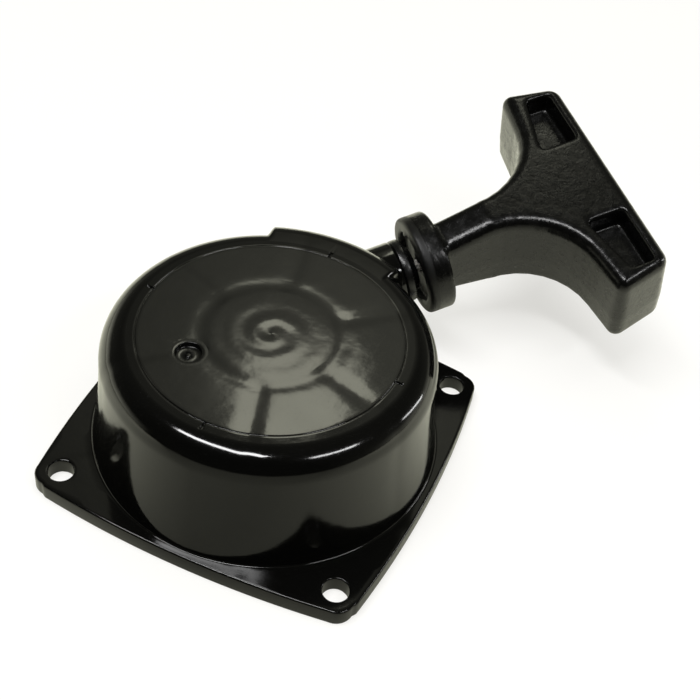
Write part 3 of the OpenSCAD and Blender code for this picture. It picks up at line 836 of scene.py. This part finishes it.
def rope_run_points(count=90):
    """The rope from the reel to the handle's knot: level at first, a parabola through the bend at the
    guide, then straight along the pull."""
    size = sizes()
    tilt = PULL["axis"][2] / math.hypot(PULL["axis"][0], PULL["axis"][1])
    stop = size.collar_reach + KNOT_AT / math.sqrt(1 + tilt * tilt)
    bend_x = size.collar_reach - (size.collar_z - size.rope_z) / tilt
    x = np.linspace(0, stop, count)
    z = size.collar_z - (size.collar_reach - x) * tilt
    z = np.where(x < bend_x - 4, size.rope_z, z)
    bend = size.rope_z + tilt * (x - bend_x + 4) ** 2 / 16
    z = np.where(np.abs(x - bend_x) <= 4, bend, z)
    c, s = math.cos(PULL_HEADING), math.sin(PULL_HEADING)
    return np.stack([x * c - size.rope_off * s, x * s + size.rope_off * c, z], axis=1)


def winding_points(per_turn=48):
    """The rope on the reel: two turns side by side in each layer. Along its length it turns clockwise
    to the point where the run leaves, stepping across once and out once in each two turns."""
    size = sizes()
    heading = math.degrees(PULL_HEADING)
    turns = np.linspace(0, 2 * LAYERS - 1, (2 * LAYERS - 1) * per_turn + 1)
    angle = np.radians(heading + 90 + 360 * (2 * LAYERS - 1 - turns))
    layer = np.floor(turns / 2) + smooth_step(turns % 2, 1.85, 2.0)
    radius = size.rope_off - size.rope_d * (LAYERS - 1 - np.minimum(layer, LAYERS - 1))
    swap = np.cos(np.pi * (np.floor(turns) + smooth_step(turns % 1, 0.85, 1.0)))
    level = np.where(turns > 2 * LAYERS - 2, 1 - smooth_step(turns, 2 * LAYERS - 2, 2 * LAYERS - 1), 1.0)
    z = size.rope_z + size.rope_d / 2 * swap * level
    return np.stack([radius * np.cos(angle), radius * np.sin(angle), z], axis=1)


def knot_points(radius, count=120):
    """A closed three-lobed knot: (sin t + 2 sin 2t, cos t - 2 cos 2t, -sin 3t), scaled to a radius."""
    t = np.linspace(0, 2 * np.pi, count, endpoint=False)
    curve = [np.sin(t) + 2 * np.sin(2 * t), np.cos(t) - 2 * np.cos(2 * t), -1.4 * np.sin(3 * t)]
    return np.stack(curve, axis=1) * radius / 3


def rope_piece(name, path, radius, closed=False, sides=14):
    """A rope's tube. Its lay attribute holds the length along it and the cosine and sine of the angle
    round it, for the braid."""
    grid = swept(path, radius, sides)
    length = np.concatenate([[0], np.cumsum(np.linalg.norm(np.diff(path, axis=0), axis=1))])
    if not closed:
        grid = capped(grid)
        length = np.concatenate([length[:1], length, length[-1:]])
    angle = np.linspace(0, 2 * np.pi, sides, endpoint=False)
    lay = np.stack(np.broadcast_arrays(length[:, None], np.cos(angle), np.sin(angle)), axis=-1)
    surface = Surface().add(grid, close_rows=closed, close_columns=True)
    piece = surface.build(name, weld=0)
    mark = piece.data.attributes.new("lay", "FLOAT_VECTOR", "POINT")
    mark.data.foreach_set("vector", lay.reshape(-1, 3).astype(np.float32).ravel())
    return piece


# ---- Materials ----


class Graph:
    """Short forms for the nodes of a material or a group."""

    def __init__(self, tree):
        self.tree = tree

    def node(self, kind, inputs=None, **settings):
        """A node with its settings and inputs: each input is a value or another node's output."""
        made = self.tree.nodes.new(kind)
        for key, value in settings.items():
            setattr(made, key, value)
        for key, value in (inputs or {}).items():
            self.put(made.inputs[key], value)
        return made

    def put(self, socket, value):
        """Links an output to a socket, or sets the socket's own value."""
        if isinstance(value, bpy.types.NodeSocket):
            self.tree.links.new(value, socket)
        else:
            socket.default_value = value

    def math(self, operation, *values):
        """A math node's result."""
        made = self.node("ShaderNodeMath", operation=operation)
        for socket, value in zip(made.inputs, values):
            self.put(socket, value)
        return made.outputs[0]

    def noise(self, vector, scale, detail=2.0, roughness=0.5):
        """A noise pattern's factor."""
        made = self.node("ShaderNodeTexNoise", {"Scale": scale, "Detail": detail, "Roughness": roughness})
        self.put(made.inputs["Vector"], vector)
        return made.outputs["Fac"]

    def ramp(self, value, low, high, start=0.0, end=1.0):
        """A value mapped from low..high to start..end and held at the ends."""
        made = self.node("ShaderNodeMapRange", clamp=True)
        for key, number in (("From Min", low), ("From Max", high), ("To Min", start), ("To Max", end)):
            made.inputs[key].default_value = number
        self.put(made.inputs["Value"], value)
        return made.outputs["Result"]

    def group(self, tree, **inputs):
        """A node group's outputs, with its inputs set by name."""
        made = self.node("ShaderNodeGroup")
        made.node_tree = tree
        for key, value in inputs.items():
            self.put(made.inputs[key.replace("_", " ")], value)
        return made.outputs

    def mixed(self, factor, first, second):
        """Two colours mixed by a factor."""
        made = self.node("ShaderNodeMix", data_type="RGBA")
        self.put(made.inputs[0], factor)
        for socket, value in ((made.inputs[6], first), (made.inputs[7], second)):
            self.put(socket, value if isinstance(value, bpy.types.NodeSocket) else (*value, 1.0))
        return made.outputs[2]


def new_group(name, inputs, outputs):
    """An empty shader group with float inputs (name: default) and outputs, and its graph's ends."""
    tree = bpy.data.node_groups.new(name, "ShaderNodeTree")
    for key, default in inputs.items():
        kind = "NodeSocketVector" if key == "Vector" else "NodeSocketFloat"
        made = tree.interface.new_socket(name=key, in_out="INPUT", socket_type=kind)
        if default is not None:
            made.default_value = default
    for key in outputs:
        tree.interface.new_socket(name=key, in_out="OUTPUT", socket_type="NodeSocketFloat")
    graph = Graph(tree)
    return tree, graph, graph.node("NodeGroupInput").outputs, graph.node("NodeGroupOutput").inputs


def sink_group():
    """Faint sinks over the post and ribs behind the top. The height in millimetres is a spiral ripple,
    sin(1.15 r + turn), that fades out from radius 4 to 14; less a bell-shaped dip at the axis, one round
    radius 16 and one along each rib from radius 14 outwards; plus broad noise. A dip of a width and a
    depth is -depth times e to the minus square of distance over width."""
    tree, g, given, out = new_group("moulding_sinks", {"Vector": None, "Depth": 1.0}, ["Height"])
    part = g.node("ShaderNodeSeparateXYZ", {"Vector": given["Vector"]}).outputs
    x = g.math("MULTIPLY", part[0], 1000.0)
    y = g.math("MULTIPLY", part[1], 1000.0)
    r = g.math("SQRT", g.math("ADD", g.math("MULTIPLY", x, x), g.math("MULTIPLY", y, y)))
    turn = g.math("ARCTAN2", y, x)

    def dip(distance, width, depth):
        """A bell-shaped dip at a distance of 0."""
        ratio = g.math("DIVIDE", distance, width)
        power = g.math("MULTIPLY", g.math("MULTIPLY", ratio, ratio), -1.0)
        return g.math("MULTIPLY", g.math("EXPONENT", power), -depth)

    swirl = g.math("SINE", g.math("ADD", g.math("MULTIPLY", r, 1.15), g.math("MULTIPLY", turn, 1.0)))
    swirl = g.math("MULTIPLY", swirl, g.ramp(r, 4.0, 14.0, 0.022, 0.0))
    height = g.math("ADD", swirl, dip(r, 2.4, 0.03))
    height = g.math("ADD", height, dip(g.math("SUBTRACT", r, 16.0), 2.0, 0.075))
    for angle in RIB_ANGLES:
        c, s = math.cos(math.radians(angle)), math.sin(math.radians(angle))
        along = g.math("ADD", g.math("MULTIPLY", x, c), g.math("MULTIPLY", y, s))
        aside = g.math("SUBTRACT", g.math("MULTIPLY", y, c), g.math("MULTIPLY", x, s))
        rib = g.math("MULTIPLY", dip(aside, 2.3, 0.095), g.ramp(along, 14.0, 18.0))
        height = g.math("ADD", height, rib)
    uneven = g.math("MULTIPLY", g.noise(given["Vector"], 170.0, 3.0), 0.035)
    g.put(out["Height"], g.math("MULTIPLY", g.math("ADD", height, uneven), given["Depth"]))
    return tree


def skin_group():
    """A moulded or cast skin: fine orange peel over broad unevenness."""
    tree, g, given, out = new_group("moulded_skin", {"Vector": None, "Grain": 900.0, "Broad": 120.0},
                                    ["Height", "Cloud"])
    fine = g.node("ShaderNodeTexNoise", {"Detail": 3.0, "Roughness": 0.55})
    broad = g.node("ShaderNodeTexNoise", {"Detail": 2.0, "Roughness": 0.5})
    for made, scale in ((fine, "Grain"), (broad, "Broad")):
        g.put(made.inputs["Vector"], given["Vector"])
        g.put(made.inputs["Scale"], given[scale])
    g.put(out["Height"], g.math("ADD", fine.outputs["Fac"], g.math("MULTIPLY", broad.outputs["Fac"], 1.5)))
    g.put(out["Cloud"], broad.outputs["Fac"])
    return tree


def scuff_group():
    """Hairline scuffs and fine dust: stretched noise cut to thin lines, and sparse specks."""
    tree, g, given, out = new_group("scuffs", {"Vector": None, "Amount": 1.0}, ["Scuff", "Dust"])
    lines = []
    for turn, stretch in ((0.5, (3000.0, 90.0, 400.0)), (2.1, (2600.0, 70.0, 500.0))):
        mapped = g.node("ShaderNodeMapping", {"Rotation": (0.0, 0.0, turn), "Scale": stretch})
        g.put(mapped.inputs["Vector"], given["Vector"])
        lines.append(g.ramp(g.noise(mapped.outputs[0], 1.0, 2.0), 0.66, 0.72))
    scuff = g.math("MULTIPLY", g.math("MAXIMUM", *lines), given["Amount"])
    specks = g.noise(given["Vector"], 2600.0, 1.0)
    g.put(out["Scuff"], scuff)
    g.put(out["Dust"], g.math("MULTIPLY", g.ramp(specks, 0.70, 0.76), given["Amount"]))
    return tree


def braid_group():
    """A braided rope's cover: two families of strands cross as they run round it, each strand a rounded
    rib. Length in millimetres, Turn in radians."""
    tree, g, given, out = new_group("braid", {"Length": 0.0, "Turn": 0.0}, ["Height", "Shade"])
    turn = g.math("MULTIPLY", given["Turn"], 4.0)
    run = g.math("MULTIPLY", given["Length"], 3.4)
    one = g.math("ABSOLUTE", g.math("SINE", g.math("ADD", run, turn)))
    two = g.math("ABSOLUTE", g.math("SINE", g.math("SUBTRACT", run, turn)))
    over = g.math("GREATER_THAN", g.math("SINE", g.math("MULTIPLY", run, 2.0)), 0.0)
    under = g.math("SUBTRACT", 1.0, over)
    height = g.math("ADD", g.math("MULTIPLY", one, over), g.math("MULTIPLY", two, under))
    g.put(out["Height"], height)
    # Shade is painted shade: darker where the braid is low, between the strands
    g.put(out["Shade"], g.ramp(height, 0.1, 0.9))
    return tree


def material_base(name):
    """A new material: its graph, its shader node and the object coordinates."""
    made = bpy.data.materials.new(name)
    made.use_nodes = True
    graph = Graph(made.node_tree)
    shader = made.node_tree.nodes["Principled BSDF"]
    place = graph.node("ShaderNodeTexCoord").outputs["Object"]
    return made, graph, shader, place


def shared(name, make):
    """A node group made once."""
    return bpy.data.node_groups.get(name) or make()


def plastic(name, tint, roughness, grain, broad, bump, scuffs=0.5, sinks=0.0, mottle=0.0, gloss=0.5,
            dull_end=False):
    """Moulded plastic: its skin's bump, scuffs and dust that roughen it, and sinks where they show. With
    dull_end, the collar's face towards the guide is rubbed dull and smooth."""
    made, g, shader, place = material_base(name)
    skin = g.group(shared("moulded_skin", skin_group), Vector=place, Grain=grain, Broad=broad)
    wear = g.group(shared("scuffs", scuff_group), Vector=place, Amount=scuffs)
    dull = g.math("ADD", g.ramp(skin["Cloud"], 0.35, 0.7, roughness, roughness + 0.05 + mottle),
                  g.math("MULTIPLY", wear["Scuff"], 0.12))
    dull = g.math("ADD", dull, g.math("MULTIPLY", wear["Dust"], 0.3))
    height = skin["Height"]
    if dull_end:
        away = g.node("ShaderNodeVectorMath", operation="DOT_PRODUCT")
        g.put(away.inputs[0], place)
        away.inputs[1].default_value = PULL["axis"]
        face = float(np.dot(collar_point(), PULL["axis"])) * MM
        clear = g.ramp(away.outputs["Value"], face + 2.0 * MM, face + 3.0 * MM)
        dull = g.math("MAXIMUM", dull, g.ramp(clear, 0.0, 1.0, 0.45, 0.0))
        height = g.math("MULTIPLY", height, clear)
    g.put(shader.inputs["Roughness"], dull)
    pale = tuple(0.02 + channel * 1.6 for channel in tint)
    g.put(shader.inputs["Base Color"], g.mixed(g.math("MULTIPLY", wear["Dust"], 0.4), tint, pale))
    relief = g.node("ShaderNodeBump", {"Strength": 1.0, "Distance": bump * MM, "Height": height})
    normal = relief.outputs["Normal"]
    if sinks:
        dips = g.group(shared("moulding_sinks", sink_group), Vector=place, Depth=sinks)
        lower = g.node("ShaderNodeBump", {"Strength": 1.0, "Distance": MM, "Height": dips["Height"]})
        g.put(lower.inputs["Normal"], normal)
        normal = lower.outputs["Normal"]
    g.put(shader.inputs["Normal"], normal)
    shader.inputs["IOR"].default_value = 1.5
    shader.inputs["Specular IOR Level"].default_value = gloss
    return made


def metal(name, tint, roughness, brush=(60.0, 60.0, 4000.0)):
    """Plated or ground metal: fine brushing along its lines, clouded roughness and small scuffs."""
    made, g, shader, place = material_base(name)
    mapped = g.node("ShaderNodeMapping", {"Scale": brush})
    g.put(mapped.inputs["Vector"], place)
    lines = g.noise(mapped.outputs[0], 1.0, 3.0, 0.6)
    cloud = g.noise(place, 260.0, 3.0)
    wear = g.group(shared("scuffs", scuff_group), Vector=place, Amount=0.5)
    clouded = g.ramp(cloud, 0.3, 0.7, roughness, roughness + 0.12)
    scuffed = g.math("MULTIPLY", wear["Scuff"], 0.15)
    g.put(shader.inputs["Roughness"], g.math("ADD", clouded, scuffed))
    shade = tuple(channel * 0.72 for channel in tint)
    g.put(shader.inputs["Base Color"], g.mixed(g.ramp(cloud, 0.35, 0.75), tint, shade))
    relief = g.node("ShaderNodeBump", {"Strength": 0.5, "Distance": 0.01 * MM, "Height": lines})
    g.put(shader.inputs["Normal"], relief.outputs["Normal"])
    shader.inputs["Metallic"].default_value = 1.0
    return made


def rope_cover(name, tint, straight):
    """Braided rope. On the straight run the length is read along the pull, so that the braid keeps its
    size as the run is drawn out; elsewhere it is read from the lay attribute."""
    made, g, shader, place = material_base(name)
    lay = g.node("ShaderNodeAttribute", attribute_name="lay").outputs["Vector"]
    part = g.node("ShaderNodeSeparateXYZ", {"Vector": lay}).outputs
    length = part[0]
    if straight:
        along = g.node("ShaderNodeVectorMath", operation="DOT_PRODUCT")
        g.put(along.inputs[0], place)
        along.inputs[1].default_value = [component * 1000 for component in PULL["axis"]]
        length = along.outputs["Value"]
    braid = g.group(shared("braid", braid_group), Length=length, Turn=g.math("ARCTAN2", part[2], part[1]))
    fuzz = g.noise(place, 5000.0, 2.0)
    # Painted shade in the braid's low parts, varied at random by the fuzz, darkens the colour towards the dark
    # tint
    dark = tuple(channel * 0.45 for channel in tint)
    shade = g.math("MULTIPLY", braid["Shade"], g.ramp(fuzz, 0.2, 0.6, 0.75))
    g.put(shader.inputs["Base Color"], g.mixed(shade, dark, tint))
    g.put(shader.inputs["Roughness"], g.ramp(fuzz, 0.3, 0.7, 0.6, 0.8))
    relief = g.node("ShaderNodeBump", {"Strength": 0.8, "Distance": 0.25 * MM, "Height": braid["Height"]})
    g.put(shader.inputs["Normal"], relief.outputs["Normal"])
    shader.inputs["Sheen Weight"].default_value = 0.25
    return made


def starter_materials():
    """Every finish, by name, made once."""
    if "housing_gloss" in bpy.data.materials:
        return {made.name: made for made in bpy.data.materials}
    tint = colours()
    made = [
        plastic("housing_gloss", tint.housing, 0.075, 700.0, 60.0, 0.002, scuffs=0.35, sinks=1.0),
        plastic("gate_gloss", tint.housing, 0.14, 1500.0, 200.0, 0.003),
        plastic("handle_mottled", tint.grip, 0.19, 1500.0, 520.0, 0.032, scuffs=0.4, mottle=0.06, gloss=0.36,
                dull_end=True),
        plastic("guide_satin", tint.guide, 0.2, 1100.0, 260.0, 0.03, mottle=0.1),
        plastic("reel_nylon", tint.nylon, 0.38, 1400.0, 150.0, 0.02, scuffs=0.8, mottle=0.1),
        metal("sheet_zinc", tint.steel, 0.34, (300.0, 300.0, 300.0)),
        metal("zinc_plate", tint.steel, 0.22),
        metal("ground_steel", tint.steel, 0.18, (900.0, 900.0, 60.0)),
        metal("pawl_stamped", tuple(0.62 * channel for channel in tint.steel), 0.36, (700.0, 120.0, 700.0)),
        metal("blued_spring", tint.spring, 0.28, (60.0, 60.0, 3000.0)),
        metal("bush_bronze", tint.bronze, 0.34, (500.0, 500.0, 500.0)),
        rope_cover("rope_wound", tint.rope, False),
        rope_cover("rope_run", tint.rope, True),
    ]
    return {item.name: item for item in made}


# ---- Stage ----


def floor_material():
    """Pale studio floor. What mirrors in gloss carries painted shade in front of the object and painted light
    beside and behind it, as on a table lit from the back; what the eye meets directly is an even pale grey
    that glows. From below it is clear, and light from below passes through it."""
    made, g, _, place = material_base("studio_floor")
    tint = colours().floor
    shade = tuple(channel * 0.985 for channel in tint)
    lit = g.node("ShaderNodeBsdfDiffuse")
    g.put(lit.inputs["Color"], g.mixed(g.noise(place, 12.0, 3.0), tint, shade))
    glow = g.node("ShaderNodeEmission", {"Color": (1.0, 0.99, 0.95, 1.0), "Strength": FLOOR_GLOW})
    plain = g.node("ShaderNodeAddShader")
    g.put(plain.inputs[0], lit.outputs[0])
    g.put(plain.inputs[1], glow.outputs[0])
    part = g.node("ShaderNodeSeparateXYZ", {"Vector": place}).outputs
    either_side = g.math("MULTIPLY", g.math("ABSOLUTE", part[0]), 0.9)
    beside = g.math("SUBTRACT", either_side, g.math("MULTIPLY", part[0], 0.6))
    depth = g.math("ADD", part[1], beside)
    mirrored = g.node("ShaderNodeBsdfDiffuse")
    # Painted shade and painted light: the mirrored colour runs from dark in front of the object to bright beside
    # and behind it
    level = g.ramp(depth, -0.05, 0.13, 0.28, 1.0)
    g.put(mirrored.inputs["Color"], g.mixed(level, (0.0, 0.0, 0.0), WARM))
    ray = g.node("ShaderNodeLightPath").outputs
    choice = g.node("ShaderNodeMixShader")
    g.put(choice.inputs[0], ray["Is Camera Ray"])
    g.put(choice.inputs[1], mirrored.outputs[0])
    g.put(choice.inputs[2], plain.outputs[0])
    from_below = g.node("ShaderNodeNewGeometry").outputs["Backfacing"]
    clear = g.node("ShaderNodeMixShader")
    g.put(clear.inputs[0], g.math("MAXIMUM", from_below, ray["Is Shadow Ray"]))
    g.put(clear.inputs[1], choice.outputs[0])
    g.put(clear.inputs[2], g.node("ShaderNodeBsdfTransparent").outputs[0])
    g.put(made.node_tree.nodes["Material Output"].inputs["Surface"], clear.outputs[0])
    return made


def floor_surface():
    """A flat disc with its edge far off: radius and angle on a grid."""
    radius = np.array([0.0, 200.0, 600.0, 1500.0, 4000.0])
    profile = np.stack([radius, np.zeros(5)], axis=1)
    return Surface().add(spun(profile, 64, -0.05), close_columns=True)


def strip_light(name, start, end, width, radiance, tint, mirrored):
    """A flat light, LIGHT_DISTANCE from the origin and facing it, that spans two directions: its middle
    lies along their sum, its length runs along their difference, and its power is its radiance times pi
    times its area."""
    start, end = Vector(start).normalized(), Vector(end).normalized()
    away = (start + end).normalized()
    along = (end - start).normalized()
    data = bpy.data.lights.new(name, "AREA")
    data.shape = "RECTANGLE"
    data.size = 2 * LIGHT_DISTANCE * math.tan(start.angle(end) / 2)
    data.size_y = width
    data.color = tint
    data.energy = radiance * math.pi * data.size * data.size_y
    lamp = bpy.data.objects.new(name, data)
    turn = Matrix((along, away.cross(along), away)).transposed().to_4x4()
    lamp.matrix_world = Matrix.Translation(away * LIGHT_DISTANCE) @ turn
    lamp.visible_glossy = mirrored
    bpy.context.scene.collection.objects.link(lamp)
    return lamp


def studio_world():
    """Dark studio with a soft lobe of light high behind, a dim band at the horizon behind, and brighter
    horizons at the left and right."""
    world = bpy.data.worlds.new("studio")
    world.use_nodes = True
    g = Graph(world.node_tree)
    back = world.node_tree.nodes["Background"]
    way = g.node("ShaderNodeTexCoord").outputs["Generated"]
    part = g.node("ShaderNodeSeparateXYZ", {"Vector": way}).outputs

    def facing(direction):
        """Cosine of the angle to a direction."""
        made = g.node("ShaderNodeVectorMath", operation="DOT_PRODUCT")
        g.put(made.inputs[0], way)
        made.inputs[1].default_value = Vector(direction).normalized()
        return made.outputs["Value"]

    base = g.math("MULTIPLY", g.ramp(part[2], 0.0, 0.6, 0.16, 0.05), g.ramp(part[1], -0.5, 0.3, 0.1, 1.0))
    towards = g.math("MAXIMUM", facing(LOBE_TOWARDS), 0.0)
    lobe = g.math("MULTIPLY", g.math("POWER", towards, LOBE_FOCUS), LOBE_LEVEL)
    behind = facing(BEHIND)
    sides = g.math("MULTIPLY", g.ramp(behind, 0.65, 0.9, 1.0, 0.0), g.ramp(behind, -0.4, 0.1))
    glow = g.math("MULTIPLY", sides, g.ramp(part[2], 0.0, 0.28, 1.0, 0.0))
    glow = g.math("MULTIPLY", glow, g.ramp(part[0], -0.8, 0.8, 1.7, 0.8))
    g.put(back.inputs["Strength"], g.math("ADD", g.math("ADD", base, lobe), glow))
    back.inputs["Color"].default_value = (*WARM, 1.0)
    bpy.context.scene.world = world


def studio_camera():
    """The camera, set by where it stands, where it looks and its right-hand side."""
    data = bpy.data.cameras.new("studio_camera")
    data.lens = CAMERA_LENS
    data.sensor_width = 36.0
    data.clip_start = 0.01
    camera = bpy.data.objects.new("studio_camera", data)
    ahead = Vector(CAMERA_AHEAD).normalized()
    right = (Vector(CAMERA_RIGHT) - ahead * Vector(CAMERA_RIGHT).dot(ahead)).normalized()
    up = right.cross(ahead)
    turn = Matrix((right, up, -ahead)).transposed().to_4x4()
    camera.matrix_world = Matrix.Translation(Vector(CAMERA_AT) * MM) @ turn
    bpy.context.scene.collection.objects.link(camera)
    bpy.context.scene.camera = camera


# ---- Operators ----


class STARTER_OT_stage(bpy.types.Operator):
    """Camera, floor, lights and surroundings"""

    bl_options = {"REGISTER", "UNDO"}
    bl_idname = "starter.stage"
    bl_label = "Stage"

    def execute(self, context):
        """Sets the stage."""
        studio_camera()
        studio_world()
        floor = floor_surface().build("studio_floor")
        floor.data.flip_normals()
        floor.data.materials.append(floor_material())
        for light in LIGHTS:
            strip_light(*light)
        bpy.context.scene.view_settings.view_transform = "Standard"
        return {"FINISHED"}


class STARTER_OT_housing(bpy.types.Operator):
    """Drum housing with its flange, boss and gate mark"""

    bl_options = {"REGISTER", "UNDO"}
    bl_idname = "starter.housing"
    bl_label = "Housing"

    def execute(self, context):
        """Builds the housing's skin and the pieces moulded with it."""
        finish = starter_materials()
        shell = housing_surface().build("housing_shell", crease=50)
        finish_piece(shell, "housing", finish["housing_gloss"], "housing_plastic", "housing")
        gate = gate_surface().build("gate_mark", crease=60)
        finish_piece(gate, "housing", finish["gate_gloss"], "housing_plastic")
        boss = boss_surface().build("rope_boss", crease=50)
        finish_piece(boss, "housing", finish["housing_gloss"], "housing_plastic")
        return {"FINISHED"}


class STARTER_OT_guide(bpy.types.Operator):
    """Rope guide pressed into the boss"""

    bl_options = {"REGISTER", "UNDO"}
    bl_idname = "starter.guide"
    bl_label = "Rope guide"

    def execute(self, context):
        """Builds the guide."""
        finish = starter_materials()
        guide = guide_surface().build("rope_guide_bush", crease=50)
        finish_piece(guide, "housing", finish["guide_satin"], "guide_plastic", "rope_guide")
        return {"FINISHED"}


class STARTER_OT_handle(bpy.types.Operator):
    """T handle"""

    bl_options = {"REGISTER", "UNDO"}
    bl_idname = "starter.handle"
    bl_label = "Handle"

    def execute(self, context):
        """Builds the handle's skin."""
        finish = starter_materials()
        finish_piece(handle_piece(), "handle", finish["handle_mottled"], "handle_plastic", "handle")
        return {"FINISHED"}


class STARTER_OT_rope(bpy.types.Operator):
    """Rope on the reel, its run to the handle, and its two knots"""

    bl_options = {"REGISTER", "UNDO"}
    bl_idname = "starter.rope"
    bl_label = "Rope"

    def execute(self, context):
        """Builds the rope's pieces."""
        finish = starter_materials()
        r = sizes().rope_d / 2
        winding = rope_piece("rope_winding", winding_points(), r * 0.98)
        finish_piece(winding, "reel", finish["rope_wound"], "rope_fibre", "rope_coil")
        knot = to_world(knot_points(2.9) + np.array([KNOT_MIDDLE, 0, 0]), HANDLE_ROLL)
        end_knot = rope_piece("handle_end_knot", knot, r * 0.9, closed=True)
        finish_piece(end_knot, "handle", finish["rope_wound"], "rope_fibre", "handle_knot")
        low, high = (np.array(corner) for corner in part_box("reel_knot"))
        at = np.array([(low[0] + high[0]) / 2, low[1] + 0.0026, (low[2] + high[2]) / 2]) / MM
        core_knot = rope_piece("reel_end_knot", knot_points(1.7) + at, r * 0.6, closed=True)
        finish_piece(core_knot, "reel", finish["rope_wound"], "rope_fibre", "reel_knot")
        run = rope_piece("rope_run", rope_run_points(), r)
        run.data.materials.append(finish["rope_run"])
        start, end = to_world([(-RING_GAP, 0, 0), (-0.1, 0, 0)]) * MM
        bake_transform(run)
        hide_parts("rope_lead")
        return {"FINISHED"}


NODE_FINISH = {
    "spring_case": ("sheet_zinc", 0.2),
    "spring_cover": ("sheet_zinc", 0.15),
    "recoil_spring": ("blued_spring", 0.0),
    "axle_sleeve": ("ground_steel", 0.15),
    "retainer_washer": ("zinc_plate", 0.15),
    "centre_screw": ("zinc_plate", 0.25),
    "reel": ("reel_nylon", 0.4),
    "reel_bush": ("bush_bronze", 0.2),
    "pawl_pin_1": ("ground_steel", 0.25),
    "pawl_pin_2": ("ground_steel", 0.25),
    "pin_clip_1": ("blued_spring", 0.1),
    "pin_clip_2": ("blued_spring", 0.1),
    "pawl_spring_1": ("blued_spring", 0.1),
    "pawl_spring_2": ("blued_spring", 0.1),
    "friction_spring": ("blued_spring", 0.0),
    "friction_plate": ("zinc_plate", 0.15),
    "pawl_1": ("pawl_stamped", 0.25),
    "pawl_2": ("pawl_stamped", 0.25),
    "knot_washer": ("zinc_plate", 0.15),
}


class STARTER_OT_works(bpy.types.Operator):
    """Reel, spring, pawls and fasteners"""

    bl_options = {"REGISTER", "UNDO"}
    bl_idname = "starter.works"
    bl_label = "Works"

    def execute(self, context):
        """Gives each working part its finish and breaks its sharp edges."""
        finish = starter_materials()
        for node, (name, edge) in NODE_FINISH.items():
            part = frame["nodes"][node]
            part.data.materials.clear()
            part.data.materials.append(finish[name])
            if edge:
                weld = part.modifiers.new("weld", "WELD")
                weld.merge_threshold = 1e-6
                bevel = part.modifiers.new("broken_edge", "BEVEL")
                bevel.width = edge * MM
                bevel.segments = 3
                bevel.limit_method = "ANGLE"
                bevel.angle_limit = math.radians(40)
                bevel.harden_normals = True
        return {"FINISHED"}


class STARTER_PT_panel(bpy.types.Panel):
    """The starter's pieces, sizes and colours"""

    bl_label = "Recoil starter"
    bl_idname = "STARTER_PT_panel"
    bl_space_type = "VIEW_3D"
    bl_region_type = "UI"
    bl_category = "Starter"

    def draw(self, context):
        """Lists the operators, then the settings."""
        for operator in PIECES:
            self.layout.operator(operator.bl_idname)
        for group in (context.scene.starter_sizes, context.scene.starter_colours):
            column = self.layout.column(align=True)
            for key in group.__annotations__:
                column.prop(group, key)


PIECES = (
    STARTER_OT_stage,
    STARTER_OT_housing,
    STARTER_OT_guide,
    STARTER_OT_handle,
    STARTER_OT_rope,
    STARTER_OT_works,
)
CLASSES = (StarterSizes, StarterColours, *PIECES, STARTER_PT_panel)


def register():
    """Registers the classes and hangs the settings on the scene."""
    for item in CLASSES:
        bpy.utils.register_class(item)
    bpy.types.Scene.starter_sizes = PointerProperty(type=StarterSizes)
    bpy.types.Scene.starter_colours = PointerProperty(type=StarterColours)


def unregister():
    """Removes the settings and the classes."""
    del bpy.types.Scene.starter_colours
    del bpy.types.Scene.starter_sizes
    for item in reversed(CLASSES):
        bpy.utils.unregister_class(item)


def main():
    """Builds everything in order."""
    register()
    for operator in PIECES:
        group, name = operator.bl_idname.split(".")
        getattr(getattr(bpy.ops, group), name)()


if __name__ == "__main__":
    main()
